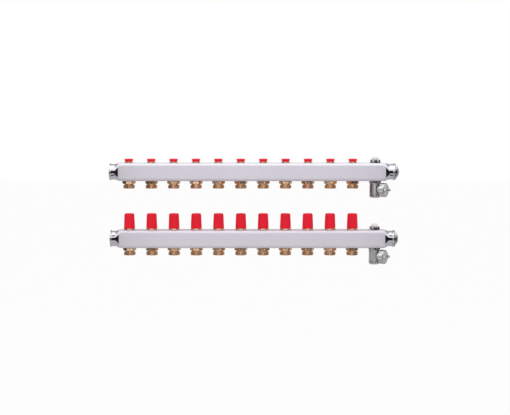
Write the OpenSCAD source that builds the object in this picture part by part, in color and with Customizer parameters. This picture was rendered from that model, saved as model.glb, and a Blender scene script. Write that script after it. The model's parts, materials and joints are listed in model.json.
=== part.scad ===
// Underfloor heating manifold: two square bars with outlets, valves, air vents and drain valves.
// Millimetres. X runs along the bars, -Y is the front and +Z is up.
// The origin is the centre of the lower bar's back face.

/* [Manifold] */
// Heating circuits on each bar
circuits = 11; // [2:1:11]
// Distance between neighbouring circuits
circuit_pitch = 50; // [41:1:80]
// Distance between the axes of the two bars
bar_spacing = 150; // [120:1:250]

/* [Bars] */
// Width and height of the square bar
bar_w = 40; // [36:1:55]
// Wall of the bar
bar_wall = 1.5; // [1:0.1:2]
// Outer corner radius of the bar
bar_corner_r = 6.5; // [4:0.5:7]
// How far the sides stop short of half a pitch past the last place
end_inset = 3; // [0:0.5:6]
// Length over which the corners round off at each end
draw_len = 8; // [6:1:12]
// How far each side draws in over that length
draw_in = 0.3; // [0.2:0.1:2]
// Corner radius where the square part ends
drawn_corner_r = 10; // [6:0.5:11]
// Length of the shoulder from square to round
shoulder_len = 8.5; // [5:0.5:14]
// Length of the round neck with its lip
neck_len = 12; // [9:1:20]
// Wall of the neck round the inlet bore
neck_wall = 2.2; // [2:0.1:3]
// Length of the lip at the mouth
lip_len = 3.5; // [2.5:0.1:5]
// Height of the lip above the neck
lip_h = 1.6; // [0.5:0.1:2]
// Inlet bore, the core of an internal G1 thread
inlet_bore_d = 30.3; // [25:0.1:31]
// Chamfer at the mouth of the inlet bore
inlet_chamfer = 1.6; // [0.5:0.1:2]
// Height of the formed collars round the holes, inside the bar
collar_h = 3; // [2:0.5:4]
// Wall of the formed collars
collar_wall = 1.5; // [1:0.1:2]

/* [End plugs] */
// Length of the plug's shank in the neck
plug_shank_len = 12; // [8:1:16]
// Thickness of the plug's flange
plug_flange_h = 2; // [1.5:0.5:3]
// Hexagon of the plug's head, across flats
plug_hex_af = 25; // [20:0.5:28]
// Height of the plug's head
plug_head_h = 8; // [6:0.5:12]
// Radius of the dome over the plug's head
plug_dome_r = 20; // [18:1:40]

/* [Outlets] */
// Spigot that passes through the bar's wall
outlet_spigot_d = 22; // [20:0.5:27]
// Overlap of the hexagon collar over the spigot, at its flats
outlet_collar_lip = 2; // [1.5:0.1:3]
// Height of the outlet collar
outlet_hex_h = 5.6; // [3:0.1:7]
// Largest turn of a collar away from square with the bar, in degrees
outlet_hex_turn = 14; // [0:1:30]
// Diameter of the groove between collar and thread
outlet_groove_d = 20.5; // [19:0.1:24]
// Length of the groove
outlet_groove_len = 3; // [2:0.5:5]
// Outlet thread, G3/4
outlet_thread_d = 26.44; // [24:0.01:33]
// Length of the outlet thread
outlet_thread_len = 7.4; // [6:0.1:14]
// Bore behind the outlet's cone
outlet_bore_d = 16; // [13:0.5:17]
// Length of that bore from the mouth
outlet_bore_len = 13.8; // [12:0.1:15]
// Widening of the bore by the cone at the outlet's mouth
outlet_cone_w = 2; // [1:0.1:2.5]
// Waterway above the outlet bore
waterway_d = 12; // [9:0.5:13]
// Thickness of the floor between an upper outlet's bore and its throttle
port_floor_h = 4; // [2:0.5:5]
// Ports through that floor
port_count = 6; // [4:1:6]
// Diameter of a port
port_d = 2.4; // [1.5:0.1:2.5]

/* [Lower valves] */
// Threaded neck that the hand cap screws on to
valve_neck_d = 20; // [19:0.1:26]
// Overlap of the insert's hexagon over the neck, at its flats
valve_hex_lip = 1; // [0.8:0.1:2]
// Height of that hexagon
valve_hex_h = 2.9; // [1.6:0.1:4]
// Shank of the insert in the bar
valve_shank_d = 18; // [15:0.1:19]
// Depth of the shank below the bar's top face
valve_shank_len = 12; // [9:0.5:14]
// Height of the neck above the bar's top face
valve_neck_top = 13; // [11:0.5:20]
// Spring chamber in the insert
valve_chamber_d = 11; // [10:0.1:12]
// Floor under the spring chamber
valve_floor = 3; // [2:0.5:4]
// Height of the gland nut
gland_h = 5; // [4:0.5:6]
// Width of the key slot across the gland nut
gland_slot_w = 1.2; // [0.8:0.1:2]
// Depth of that slot
gland_slot_h = 1; // [0.5:0.1:1.5]
// Section radius of the O-ring round the pin
pin_seal_r = 0.7; // [0.5:0.1:0.9]
// Diameter of the valve pin
valve_pin_d = 4; // [3:0.1:5]
// Height of the pin above the neck
valve_pin_proud = 4; // [3:0.5:6]
// Diameter of the pin's shoulder
shoulder_d = 9; // [7.5:0.1:9.5]
// Height of the pin's shoulder
shoulder_h = 2; // [1.5:0.5:3]
// Diameter of the valve disc
disc_d = 17; // [15.5:0.1:17.5]
// Height of the valve disc
disc_h = 3.5; // [3:0.5:5]
// Height of the valve seat above the bar's lower face
seat_rise = 12; // [10:0.5:13]
// Height of the seat's rim
seat_rim_h = 1.5; // [1:0.5:3]
// Width of the seat's rim
seat_rim_w = 1.5; // [1:0.1:2]
// Travel of the valve pin
valve_travel = 2.25; // [1.5:0.25:3]
// Wire of the return spring
spring_wire = 1.2; // [0.8:0.1:1.4]

/* [Hand caps] */
// Wall of the cap round the neck, at its lower end
cap_wall = 2.2; // [1.6:0.05:4]
// Taper of the cap on each side, over its height
cap_taper = 1.5; // [0.5:0.1:2]
// Height of the cap
cap_h = 32.75; // [26:0.05:40]
// Top wall of the cap
cap_roof = 3; // [2:0.5:4]
// Diameter of the hollow above the neck
cap_hollow_d = 15.5; // [12:0.5:16.5]
// Boss that pushes on the pin
cap_boss_d = 7; // [5:0.5:9]
// Chamfer round the cap's top
cap_chamfer = 1.6; // [0.5:0.1:2.5]
// Grip flutes round the cap
cap_flutes = 12; // [8:1:16]
// Radius of a grip flute
cap_flute_r = 1.6; // [1:0.1:2]
// Depth of a grip flute
cap_flute_depth = 0.5; // [0.2:0.1:0.8]

/* [Balancing valves] */
// Stem of the balancing spindle
stem_d = 10; // [8.5:0.1:12]
// Wall of the balancing insert's shank round the stem
balancing_shank_wall = 1.9; // [1.5:0.1:3]
// Depth of the shank below the bar's top face
balancing_shank_len = 8; // [7:0.5:12]
// Wall of the insert's neck round the stem
balancing_neck_wall = 2.4; // [2:0.1:3]
// Height of the neck above the bar's top face
balancing_neck_top = 2.8; // [2.4:0.1:8]
// Overlap of the insert's hexagon over the neck, at its flats
balancing_hex_lip = 1; // [0.8:0.1:3]
// Height of that hexagon
balancing_hex_h = 1.5; // [1.2:0.1:4]
// Depth of the stem's O-ring below the bar's top face
stem_seal_depth = 4; // [3:0.5:5]
// Diameter of the spindle's head
head_d = 19.5; // [18:0.1:24]
// Diameter of the head's underside
head_foot_d = 16.5; // [14:0.1:18]
// Height of the head
head_h = 6.3; // [5.5:0.1:10]
// Height of the taper under the head
head_taper_h = 3.6; // [1:0.1:3.8]
// Chamfer round the head's top
head_chamfer = 1.5; // [0.5:0.1:1.6]
// Hexagon socket in the head, across flats
head_socket_af = 5; // [4:0.5:6]
// Depth of that socket
head_socket_h = 3; // [2:0.5:4]
// Grip flutes round the head
head_flutes = 10; // [6:1:14]
// Radius of a flute in the head
head_flute_r = 1.4; // [1:0.1:2]
// Depth of a flute in the head
head_flute_depth = 0.5; // [0.2:0.1:0.8]
// Wall of the throttle's housing inside the bar
throttle_wall = 2.9; // [2:0.1:4]
// Height of the window's sill above the hole's collar
window_sill = 1; // [0.5:0.1:2]
// Height of the throttle's window
window_h = 8; // [5:0.5:10]
// Width of the throttle's window
window_w = 8; // [5:0.5:8]
// Height of the housing above the window
housing_roof = 2.5; // [1.5:0.5:4]
// Reach of the stem below the window
throttle_foot = 1.5; // [1:0.1:2]
// Opening of the ring that holds the stem
clip_opening = 5; // [3:0.5:6]

/* [Air vents] */
// Shank of the vent in the bar, G3/8
vent_shank_d = 16.66; // [14:0.01:20]
// Overlap of the vent's hexagon over the shank, at its flats
vent_hex_lip = 2.67; // [2:0.01:4]
// Height of that hexagon
vent_hex_h = 6.3; // [5:0.1:9]
// Depth of the shank below the bar's top face
vent_shank_len = 9; // [7:0.5:12]
// Depth of the needle's seat below the bar's top face
vent_seat_depth = 4.5; // [3:0.5:6]
// Diameter of the vent knob
vent_knob_d = 15.2; // [12:0.1:18]
// Height of the vent knob
vent_knob_h = 6.1; // [5:0.1:9]
// Depth of the knob's socket for the needle
vent_socket_h = 4; // [3:0.1:4.5]
// Width and depth of the knob's key slot
vent_slot_w = 1.2; // [0.8:0.1:1.5]
// Diameter of the vent needle
needle_d = 6; // [5:0.1:7.5]
// Depth of the needle's shoulder below the top of the hexagon
needle_sink = 1.5; // [1.2:0.1:2]
// Spindle of the needle that carries the knob
needle_spindle_d = 4; // [3:0.1:4.5]
// Hole that the needle closes
vent_hole_d = 2.5; // [1.5:0.1:3]

/* [Drain valves] */
// Shank of the drain valve in the bar, G1/2
drain_shank_d = 20.96; // [18:0.01:26]
// Overlap of the drain's hexagon over the shank, at its flats
drain_hex_lip = 2.2; // [1.5:0.01:3]
// Height of that hexagon
drain_hex_h = 4.2; // [3:0.1:6]
// Rise of the shank above the bar's lower face
drain_shank_len = 8; // [6:0.5:12]
// Plug that opens and closes the drain
drain_plug_d = 14; // [12:0.1:17]
// Wall of the drain body round the plug
drain_wall = 5.1; // [3:0.05:5.3]
// Reach of the drain body below the branch's bore
drain_foot = 6; // [5.5:0.1:9]
// Side port of the plug, and the branch's bore
drain_port_d = 9; // [6:0.5:10]
// Widening of the plug's upright passage over its side port
passage_step = 1; // [0.5:0.1:1.2]
// Diameter of the drain knob
drain_knob_d = 24.5; // [20:0.5:26]
// Height of the drain knob
drain_knob_h = 7; // [6:0.1:10]
// Rounding of the knob's lower edge
drain_knob_r = 4; // [2:0.5:5]
// Grip flutes round the drain knob
drain_knob_flutes = 10; // [8:1:14]
// Radius of a flute in the drain knob
drain_knob_flute_r = 1.8; // [1:0.1:2.5]
// Depth of a flute in the drain knob
drain_knob_flute_depth = 0.8; // [0.3:0.1:1.2]
// Room between the drain cap and the bar above it
branch_room = 4; // [1:0.1:6]
// Turn of the branch from the bar's right end to the front, in degrees
branch_turn = 32; // [30:1:60]
// Diameter of the branch behind its thread
branch_d = 16; // [14:0.5:20]
// Room between the hexagon's corners and the branch's thread
branch_clear = 0.85; // [0.5:0.05:4]
// Hose thread on the branch, G3/4
hose_thread_d = 26.44; // [22:0.01:32]
// Length of the hose thread
hose_thread_len = 9; // [7:0.5:14]

/* [Drain caps] */
// Wall of the drain cap round the hose thread
drain_cap_skirt = 2.58; // [2:0.01:4]
// End wall of the drain cap
drain_cap_wall = 2.5; // [2:0.5:4]
// Scallops round the drain cap
drain_cap_scallops = 8; // [6:1:12]
// Radius of a scallop
scallop_r = 3; // [2:0.5:4]
// Depth of a scallop
scallop_depth = 1; // [0.5:0.1:1.2]
// Diameter of the two ears on the cap
ear_d = 6; // [4:0.5:7]
// Length of the ears
ear_len = 4.5; // [3:0.5:6]
// Distance of the ears from the cap's axis
ear_offset = 11; // [9:0.5:12]
// Square recess in the cap's face
cap_recess_w = 7; // [5:0.5:9]
// Depth of that recess
cap_recess_h = 1.5; // [1:0.1:1.8]
// Thickness of the washer in the cap
drain_washer_h = 1.8; // [1.5:0.1:3]

/* [Seals and clearances] */
// Thickness of every flat gasket
gasket_h = 0.8; // [0.5:0.1:1.5]
// Gap round a shank in its hole
fit_gap = 0.1; // [0.05:0.01:0.2]
// Gap round a stem or pin that turns or slides
running_gap = 0.1; // [0.05:0.01:0.1]
// Gap round a thread that screws on
thread_gap = 0.2; // [0.15:0.05:0.3]
// Gap between faces that move against each other
face_gap = 0.2; // [0.1:0.05:0.3]
// Gap between a closed valve and its stop
stop_gap = 0.1; // [0.05:0.01:0.2]
// Gap round an O-ring in its groove
seal_gap = 0.05; // [0.02:0.01:0.1]
// Depth of the O-ring grooves in the stems
seal_groove_h = 1.4; // [1.2:0.1:1.6]
// Thickness of the retaining rings on the stems
clip_h = 0.8; // [0.6:0.1:1]
// Depth of the groove that holds a retaining ring
clip_groove = 1; // [0.8:0.1:1.2]
// Section radius of the ring that holds a drain plug
drain_ring_r = 0.5; // [0.4:0.1:0.6]
// Land between the drain's port, its O-ring and its ring
drain_land = 2.2; // [2:0.1:2.6]
// Chamfer at the ends of the outer threads
thread_chamfer = 0.8; // [0.4:0.1:1.2]

/* [Hidden] */
$fn = 64;
hull_fn = 32;
slice_h = 0.02;
overlap = 0.5;
chamfer_slope = tan(30);

bar_half = bar_w / 2;
bar_len = (circuits + 1) * circuit_pitch;
service = circuits + 1;
lower_z = 0;
upper_z = bar_spacing;

neck_d = inlet_bore_d + 2 * neck_wall;
lip_d = neck_d + 2 * lip_h;
sides_end = bar_len / 2 - end_inset;
square_end = sides_end - draw_len;
shoulder_end = sides_end + shoulder_len;
mouth = shoulder_end + neck_len;
collar_reach = bar_wall + collar_h;

// Heights of the outlets, down from the bar's lower face
outlet_collar_end = gasket_h + outlet_hex_h;
outlet_groove_end = outlet_collar_end + outlet_groove_len;
outlet_end = outlet_groove_end + outlet_thread_len;
outlet_hex_af = outlet_spigot_d + 2 * outlet_collar_lip;
outlet_bore_top = outlet_end - outlet_bore_len;
outlet_cone_d = outlet_bore_d + 2 * outlet_cone_w;
outlet_cone_h = outlet_cone_w / chamfer_slope;

// Heights of the lower valve: the seat up from the lower face, the rest up from the top face
seat_d = waterway_d + 2 * seat_rim_w;
disc_rise = seat_rise + stop_gap;
valve_hex_af = valve_neck_d + 2 * valve_hex_lip;
valve_hex_top = gasket_h + valve_hex_h;
gland_bottom = valve_neck_top - gland_h;
gland_d = valve_chamber_d - 2 * fit_gap;
shoulder_top = gland_bottom - face_gap - valve_travel;
chamber_floor = valve_floor - valve_shank_len;
pin_bore_d = valve_pin_d + 2 * running_gap;
pin_top = valve_neck_top + valve_pin_proud;
pin_seal_ring_r = valve_pin_d / 2 + seal_gap + pin_seal_r;
spring_d = valve_chamber_d - 2 * thread_gap;

// The hand cap is screwed down, and rises by the valve's travel
cap_bottom = valve_hex_top + stop_gap;
cap_bore_d = valve_neck_d + 2 * thread_gap;
cap_base_d = cap_bore_d + 2 * cap_wall;
cap_top_d = cap_base_d - 2 * cap_taper;
cap_lean = atan(cap_taper / cap_h);

// Heights of the balancing valve: the window up from the lower face, the rest from the top face
window_bottom = collar_reach + window_sill;
window_top = window_bottom + window_h;
housing_top = window_top + housing_roof;
plug_bottom = window_bottom - throttle_foot;
stem_bore_d = stem_d + 2 * running_gap;
throttle_housing_d = stem_bore_d + 2 * throttle_wall;
balancing_shank_d = stem_bore_d + 2 * balancing_shank_wall;
balancing_neck_d = stem_bore_d + 2 * balancing_neck_wall;
balancing_hex_af = balancing_neck_d + 2 * balancing_hex_lip;
head_bottom = balancing_neck_top + face_gap;
stem_groove_d = stem_d - 2 * seal_groove_h;
clip_top = -balancing_shank_len - stop_gap;

// Heights of the air vent, up from the bar's top face
vent_hex_af = vent_shank_d + 2 * vent_hex_lip;
vent_top = gasket_h + vent_hex_h;
vent_seat = -vent_seat_depth;
needle_tip_h = (needle_d - vent_hole_d) / 2;
needle_shoulder = vent_top - needle_sink;
vent_knob_bottom = vent_top + face_gap;

// Depths of the drain valve, down from the bar's lower face
drain_hex_af = drain_shank_d + 2 * drain_hex_lip;
drain_hex_end = gasket_h + drain_hex_h;
cap_thread_d = hose_thread_d + 2 * thread_gap;
drain_cap_d = cap_thread_d + 2 * drain_cap_skirt;
branch_depth = drain_cap_d / 2 + branch_room;
drain_bore_d = drain_plug_d + 2 * running_gap;
drain_body_d = drain_bore_d + 2 * drain_wall;
drain_body_depth = branch_depth + drain_port_d / 2 + drain_foot;
drain_chamber_top = branch_depth - drain_port_d;
drain_plug_top = drain_chamber_top + face_gap;
passage_d = drain_port_d + passage_step;
passage_depth = branch_depth + passage_d / 2;
drain_seal_depth = branch_depth + drain_port_d / 2 + drain_land;
drain_ring_depth = drain_seal_depth + drain_land;
ring_slot_h = 2 * (drain_ring_r + seal_gap);
drain_groove_d = drain_plug_d - 2 * seal_groove_h;
drain_knob_top = drain_body_depth + face_gap;

// Distances along the drain's branch from the drain's axis
branch_reach = hex_corner_d(drain_hex_af) / 2 + branch_clear;
hose_end = branch_reach + hose_thread_len;
washer_start = hose_end + stop_gap;
cap_floor = washer_start + drain_washer_h + seal_gap;
cap_face = cap_floor + drain_cap_wall;
cap_skirt = branch_reach + thread_gap;

steel = "#cfcbd3";
brass = "#b98a4c";
red = "#dd2035";
nickel = "#b4b1b6";
white = "#f2f1f4";
rubber = "#2b2b2d";
stainless_pin = "#9b9a9e";

function two_digits(i) = i < 10 ? str("0", i) : str(i);
function station_x(i) = -bar_len / 2 + (i - 0.5) * circuit_pitch;
function hex_corner_d(af) = af / cos(30);

bars = ["upper", "lower"];
per_circuit = ["hand_cap_", "valve_pin_", "balancing_spindle_"];
per_bar = ["_vent_knob", "_vent_needle", "_drain_knob", "_drain_cap", "_drain_washer"];
fixed_nodes = [
  "upper_bar", "lower_bar", "upper_outlets", "lower_outlets", "outlet_gaskets",
  "balancing_inserts", "valve_inserts", "insert_gaskets", "gland_nuts", "return_springs",
  "stem_seals", "retaining_rings", "end_plugs", "plug_gaskets", "vent_bodies",
  "drain_bodies", "fitting_gaskets"
];

// Shared shapes

module ring(outer_d, inner_d, h) {
  difference() {
    cylinder(d = outer_d, h = h);
    translate([0, 0, -overlap]) cylinder(d = inner_d, h = h + 2 * overlap);
  }
}

module o_ring(centre_r, section_r) {
  rotate_extrude() translate([centre_r, 0]) circle(section_r);
}

// A hexagon with the corners of its top edge turned off
module hex_collar(af, h) {
  corner_r = hex_corner_d(af) / 2;
  turned_h = (corner_r - af / 2) * chamfer_slope;
  intersection() {
    cylinder(r = corner_r, h = h, $fn = 6);
    rotate_extrude()
      polygon([[0, 0], [corner_r, 0], [corner_r, h - turned_h], [af / 2, h], [0, h]]);
  }
}

// A thread at its crest diameter, with both ends turned off
module thread_band(d, h) {
  cylinder(d1 = d - 2 * thread_chamfer, d2 = d, h = thread_chamfer);
  translate([0, 0, thread_chamfer]) cylinder(d = d, h = h - 2 * thread_chamfer);
  translate([0, 0, h - thread_chamfer]) cylinder(d1 = d, d2 = d - 2 * thread_chamfer, h = thread_chamfer);
}

// Upright grooves round a grip of radius grip_r
module flutes(count, grip_r, flute_r, depth, h) {
  for (k = [0:count - 1])
    rotate([0, 0, k * 360 / count])
      translate([grip_r + flute_r - depth, 0, -overlap])
        cylinder(r = flute_r, h = h + 2 * overlap);
}

// Places on a bar, from its axis, its lower face and its top face
module on_axis(x, z) {
  translate([x, -bar_half, z]) children();
}

module under_bar(i, z) {
  on_axis(station_x(i), z - bar_half) children();
}

module over_bar(i, z) {
  on_axis(station_x(i), z + bar_half) children();
}

// Along a drain's branch: the axis points away from the drain
module along_branch() {
  translate([0, 0, -branch_depth])
    rotate([0, 0, -branch_turn])
      rotate([0, 90, 0])
        children();
}

// Bars

module rounded_square(w, r) {
  square([w, w - 2 * r], center = true);
  square([w - 2 * r, w], center = true);
  for (sx = [-1, 1], sy = [-1, 1])
    translate([sx * (w / 2 - r), sy * (w / 2 - r)]) circle(r);
}

module slice_at(x) {
  translate([x, 0, 0]) rotate([0, 90, 0]) linear_extrude(slice_h) children();
}

module bar_end() {
  hull() {
    slice_at(square_end - slice_h) rounded_square(bar_w, bar_corner_r, $fn = hull_fn);
    slice_at(sides_end) rounded_square(bar_w - 2 * draw_in, drawn_corner_r, $fn = hull_fn);
  }
  hull() {
    slice_at(sides_end) rounded_square(bar_w - 2 * draw_in, drawn_corner_r, $fn = hull_fn);
    slice_at(shoulder_end) circle(d = neck_d, $fn = hull_fn);
  }
  rotate([0, 90, 0]) {
    translate([0, 0, shoulder_end]) cylinder(d = neck_d, h = neck_len);
    translate([0, 0, mouth - lip_len]) cylinder(d1 = neck_d, d2 = lip_d, h = lip_h);
    translate([0, 0, mouth - lip_len + lip_h]) cylinder(d = lip_d, h = lip_len - lip_h);
  }
}

module bar_end_hollow() {
  inner_w = bar_w - 2 * bar_wall;
  hull() {
    slice_at(square_end - slice_h) rounded_square(inner_w, bar_corner_r - bar_wall, $fn = hull_fn);
    slice_at(sides_end) circle(d = inlet_bore_d, $fn = hull_fn);
  }
  rotate([0, 90, 0]) {
    translate([0, 0, sides_end]) cylinder(d = inlet_bore_d, h = mouth - sides_end + overlap);
    translate([0, 0, mouth - inlet_chamfer])
      cylinder(d1 = inlet_bore_d, d2 = inlet_bore_d + 2 * inlet_chamfer, h = inlet_chamfer);
  }
}

module bar_length(w, r) {
  rotate([0, 90, 0])
    linear_extrude(2 * square_end, center = true) rounded_square(w, r);
}

module both_ends() {
  children();
  mirror([1, 0, 0]) children();
}

// Formed collars inside the wall, round every hole
module hole_collar(d) {
  translate([0, 0, bar_half - collar_reach])
    cylinder(d = d + 2 * collar_wall, h = collar_reach - bar_wall / 2);
}

module hole(d) {
  translate([0, 0, bar_half - collar_reach - overlap])
    cylinder(d = d, h = collar_reach + 2 * overlap);
}

module at_holes(first, last) {
  for (i = [first:last]) translate([station_x(i), 0, 0]) children();
}

module downward() {
  mirror([0, 0, 1]) children();
}

module bar(insert_shank_d) {
  insert_hole_d = insert_shank_d + 2 * fit_gap;
  outlet_hole_d = outlet_spigot_d + 2 * fit_gap;
  vent_bar_hole_d = vent_shank_d + 2 * fit_gap;
  drain_hole_d = drain_shank_d + 2 * fit_gap;
  difference() {
    union() {
      difference() {
        union() {
          bar_length(bar_w, bar_corner_r);
          both_ends() bar_end();
        }
        bar_length(bar_w - 2 * bar_wall, bar_corner_r - bar_wall);
        both_ends() bar_end_hollow();
      }
      at_holes(1, circuits) hole_collar(insert_hole_d);
      at_holes(1, circuits) downward() hole_collar(outlet_hole_d);
      at_holes(service, service) hole_collar(vent_bar_hole_d);
      at_holes(service, service) downward() hole_collar(drain_hole_d);
    }
    at_holes(1, circuits) hole(insert_hole_d);
    at_holes(1, circuits) downward() hole(outlet_hole_d);
    at_holes(service, service) hole(vent_bar_hole_d);
    at_holes(service, service) downward() hole(drain_hole_d);
  }
}

module upper_bar() {
  color(steel) on_axis(0, upper_z) bar(balancing_shank_d);
}

module lower_bar() {
  color(steel) on_axis(0, lower_z) bar(valve_shank_d);
}

// End plugs, in the right-hand mouths

module end_plug() {
  head_start = gasket_h + plug_flange_h;
  translate([0, 0, -plug_shank_len])
    cylinder(d = inlet_bore_d - 2 * fit_gap, h = plug_shank_len + gasket_h + overlap);
  translate([0, 0, gasket_h]) cylinder(d = neck_d + lip_h, h = plug_flange_h);
  intersection() {
    translate([0, 0, head_start - overlap])
      cylinder(d = hex_corner_d(plug_hex_af), h = plug_head_h + overlap, $fn = 6);
    translate([0, 0, head_start + plug_head_h - plug_dome_r]) sphere(plug_dome_r);
  }
}

module at_plugs() {
  for (z = [upper_z, lower_z])
    on_axis(mouth, z) rotate([0, 90, 0]) children();
}

module end_plugs() {
  color(nickel) at_plugs() end_plug();
}

module plug_gaskets() {
  color(rubber) at_plugs() ring(neck_d + lip_h, inlet_bore_d + 2 * inlet_chamfer, gasket_h);
}

// Outlets, hanging from the bar's lower face

module outlet_outside(i) {
  rotate([0, 0, outlet_hex_turn * sin(137 * i)])
    translate([0, 0, -gasket_h]) downward() hex_collar(outlet_hex_af, outlet_hex_h);
  translate([0, 0, -outlet_groove_end - overlap])
    cylinder(d = outlet_groove_d, h = outlet_groove_len + 2 * overlap);
  translate([0, 0, -outlet_end]) thread_band(outlet_thread_d, outlet_thread_len);
}

module outlet_mouth() {
  translate([0, 0, -outlet_end - overlap])
    cylinder(d = outlet_bore_d, h = outlet_end - outlet_bore_top + overlap);
  translate([0, 0, -outlet_end])
    cylinder(d1 = outlet_cone_d, d2 = outlet_bore_d, h = outlet_cone_h);
}

module lower_outlet(i) {
  spigot_top = seat_rise - seat_rim_h;
  difference() {
    union() {
      outlet_outside(i);
      translate([0, 0, -gasket_h - overlap])
        cylinder(d = outlet_spigot_d, h = spigot_top + gasket_h + overlap);
      cylinder(d = seat_d, h = seat_rise);
    }
    outlet_mouth();
    translate([0, 0, -outlet_bore_top - overlap])
      cylinder(d = waterway_d, h = outlet_bore_top + seat_rise + 2 * overlap);
  }
}

module upper_outlet(i) {
  difference() {
    union() {
      outlet_outside(i);
      translate([0, 0, -gasket_h - overlap])
        cylinder(d = outlet_spigot_d, h = collar_reach + gasket_h + overlap);
      cylinder(d = throttle_housing_d, h = housing_top);
    }
    outlet_mouth();
    translate([0, 0, port_floor_h - outlet_bore_top])
      cylinder(d = stem_bore_d, h = outlet_bore_top - port_floor_h + housing_top + overlap);
    for (k = [0:port_count - 1])
      rotate([0, 0, (k + 0.5) * 360 / port_count])
        translate([stem_bore_d / 3, 0, -outlet_bore_top - overlap])
          cylinder(d = port_d, h = port_floor_h + 2 * overlap);
    translate([0, -window_w / 2, window_bottom]) cube([throttle_housing_d, window_w, window_h]);
  }
}

module upper_outlets() {
  color(brass) for (i = [1:circuits]) under_bar(i, upper_z) upper_outlet(i);
}

module lower_outlets() {
  color(brass) for (i = [1:circuits]) under_bar(i, lower_z) lower_outlet(i);
}

module outlet_gaskets() {
  color(rubber)
    for (i = [1:circuits], z = [upper_z, lower_z])
      under_bar(i, z) downward() ring(outlet_hex_af, outlet_spigot_d + 2 * fit_gap, gasket_h);
}

// Lower valves, standing on the bar's top face

module valve_insert() {
  difference() {
    union() {
      translate([0, 0, gasket_h]) hex_collar(valve_hex_af, valve_hex_h);
      translate([0, 0, -valve_shank_len])
        cylinder(d = valve_shank_d, h = valve_shank_len + valve_hex_top);
      translate([0, 0, gasket_h]) cylinder(d = valve_neck_d, h = valve_neck_top - gasket_h - thread_chamfer);
      translate([0, 0, valve_neck_top - thread_chamfer])
        cylinder(d1 = valve_neck_d, d2 = valve_neck_d - 2 * thread_chamfer, h = thread_chamfer);
    }
    translate([0, 0, chamber_floor])
      cylinder(d = valve_chamber_d, h = valve_neck_top - chamber_floor + overlap);
    translate([0, 0, -valve_shank_len - overlap])
      cylinder(d = pin_bore_d, h = valve_floor + 2 * overlap);
  }
}

module gland_nut() {
  recess_r = pin_seal_ring_r + pin_seal_r + seal_gap;
  difference() {
    translate([0, 0, gland_bottom]) cylinder(d = gland_d, h = gland_h);
    translate([0, 0, gland_bottom - overlap]) cylinder(d = pin_bore_d, h = gland_h + 2 * overlap);
    translate([0, 0, gland_bottom - overlap])
      cylinder(r = recess_r, h = overlap + 2 * (pin_seal_r + seal_gap));
    translate([-gland_d / 2, -gland_slot_w / 2, valve_neck_top - gland_slot_h])
      cube([gland_d, gland_slot_w, gland_slot_h + overlap]);
  }
}

module pin_seal() {
  translate([0, 0, gland_bottom + pin_seal_r + seal_gap])
    o_ring(pin_seal_ring_r, pin_seal_r);
}

// The spring's outer form, as a sleeve of its wire's width
module return_spring() {
  translate([0, 0, chamber_floor])
    ring(spring_d, spring_d - 2 * spring_wire, shoulder_top - shoulder_h - chamber_floor);
}

// The pin's length follows the bar, from the disc over its seat to the tip above the neck
module valve_pin() {
  disc_z = disc_rise - bar_w;
  translate([0, 0, disc_z]) cylinder(d = disc_d, h = disc_h);
  translate([0, 0, disc_z]) cylinder(d = valve_pin_d, h = pin_top - disc_z);
  translate([0, 0, shoulder_top - shoulder_h]) cylinder(d = shoulder_d, h = shoulder_h);
}

module cap_outside() {
  cylinder(d1 = cap_base_d, d2 = cap_top_d, h = cap_h - cap_chamfer);
  translate([0, 0, cap_h - cap_chamfer])
    cylinder(d1 = cap_top_d, d2 = cap_top_d - 2 * cap_chamfer, h = cap_chamfer);
}

module cap_flute_cuts() {
  for (k = [0:cap_flutes - 1])
    rotate([0, 0, (k + 0.5) * 360 / cap_flutes])
      translate([cap_base_d / 2 + cap_flute_r - cap_flute_depth, 0, 0])
        rotate([0, -cap_lean, 0])
          translate([0, 0, -overlap]) cylinder(r = cap_flute_r, h = cap_h + 2 * overlap);
}

module hand_cap() {
  boss_z = pin_top + seal_gap - cap_bottom;
  difference() {
    cap_outside();
    cap_flute_cuts();
    translate([0, 0, -overlap]) cylinder(d = cap_bore_d, h = boss_z + overlap);
    translate([0, 0, boss_z - overlap])
      ring(cap_hollow_d, cap_boss_d, cap_h - cap_roof - boss_z + overlap);
  }
}

module valve_inserts() {
  color(brass) for (i = [1:circuits]) over_bar(i, lower_z) valve_insert();
}

module gland_nuts() {
  color(brass) for (i = [1:circuits]) over_bar(i, lower_z) gland_nut();
}

module return_springs() {
  color(stainless_pin) for (i = [1:circuits]) over_bar(i, lower_z) return_spring();
}

module valve_pin_at(i) {
  color(stainless_pin) over_bar(i, lower_z) valve_pin();
}

module hand_cap_at(i) {
  color(red) over_bar(i, lower_z) translate([0, 0, cap_bottom]) hand_cap();
}

// Balancing valves, standing on the upper bar's top face

module balancing_insert() {
  difference() {
    union() {
      translate([0, 0, gasket_h]) hex_collar(balancing_hex_af, balancing_hex_h);
      translate([0, 0, gasket_h]) cylinder(d = balancing_neck_d, h = balancing_neck_top - gasket_h);
      translate([0, 0, -balancing_shank_len])
        cylinder(d = balancing_shank_d, h = balancing_shank_len + gasket_h + overlap);
    }
    translate([0, 0, -balancing_shank_len - overlap])
      cylinder(d = stem_bore_d, h = balancing_shank_len + balancing_neck_top + 2 * overlap);
  }
}

module spindle_head() {
  body_h = head_h - head_taper_h - head_chamfer;
  difference() {
    union() {
      cylinder(d1 = head_foot_d, d2 = head_d, h = head_taper_h);
      translate([0, 0, head_taper_h]) cylinder(d = head_d, h = body_h);
      translate([0, 0, head_taper_h + body_h])
        cylinder(d1 = head_d, d2 = head_d - 2 * head_chamfer, h = head_chamfer);
    }
    flutes(head_flutes, head_d / 2, head_flute_r, head_flute_depth, head_h);
    translate([0, 0, head_h - head_socket_h])
      cylinder(d = hex_corner_d(head_socket_af), h = head_socket_h + overlap, $fn = 6);
  }
}

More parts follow.
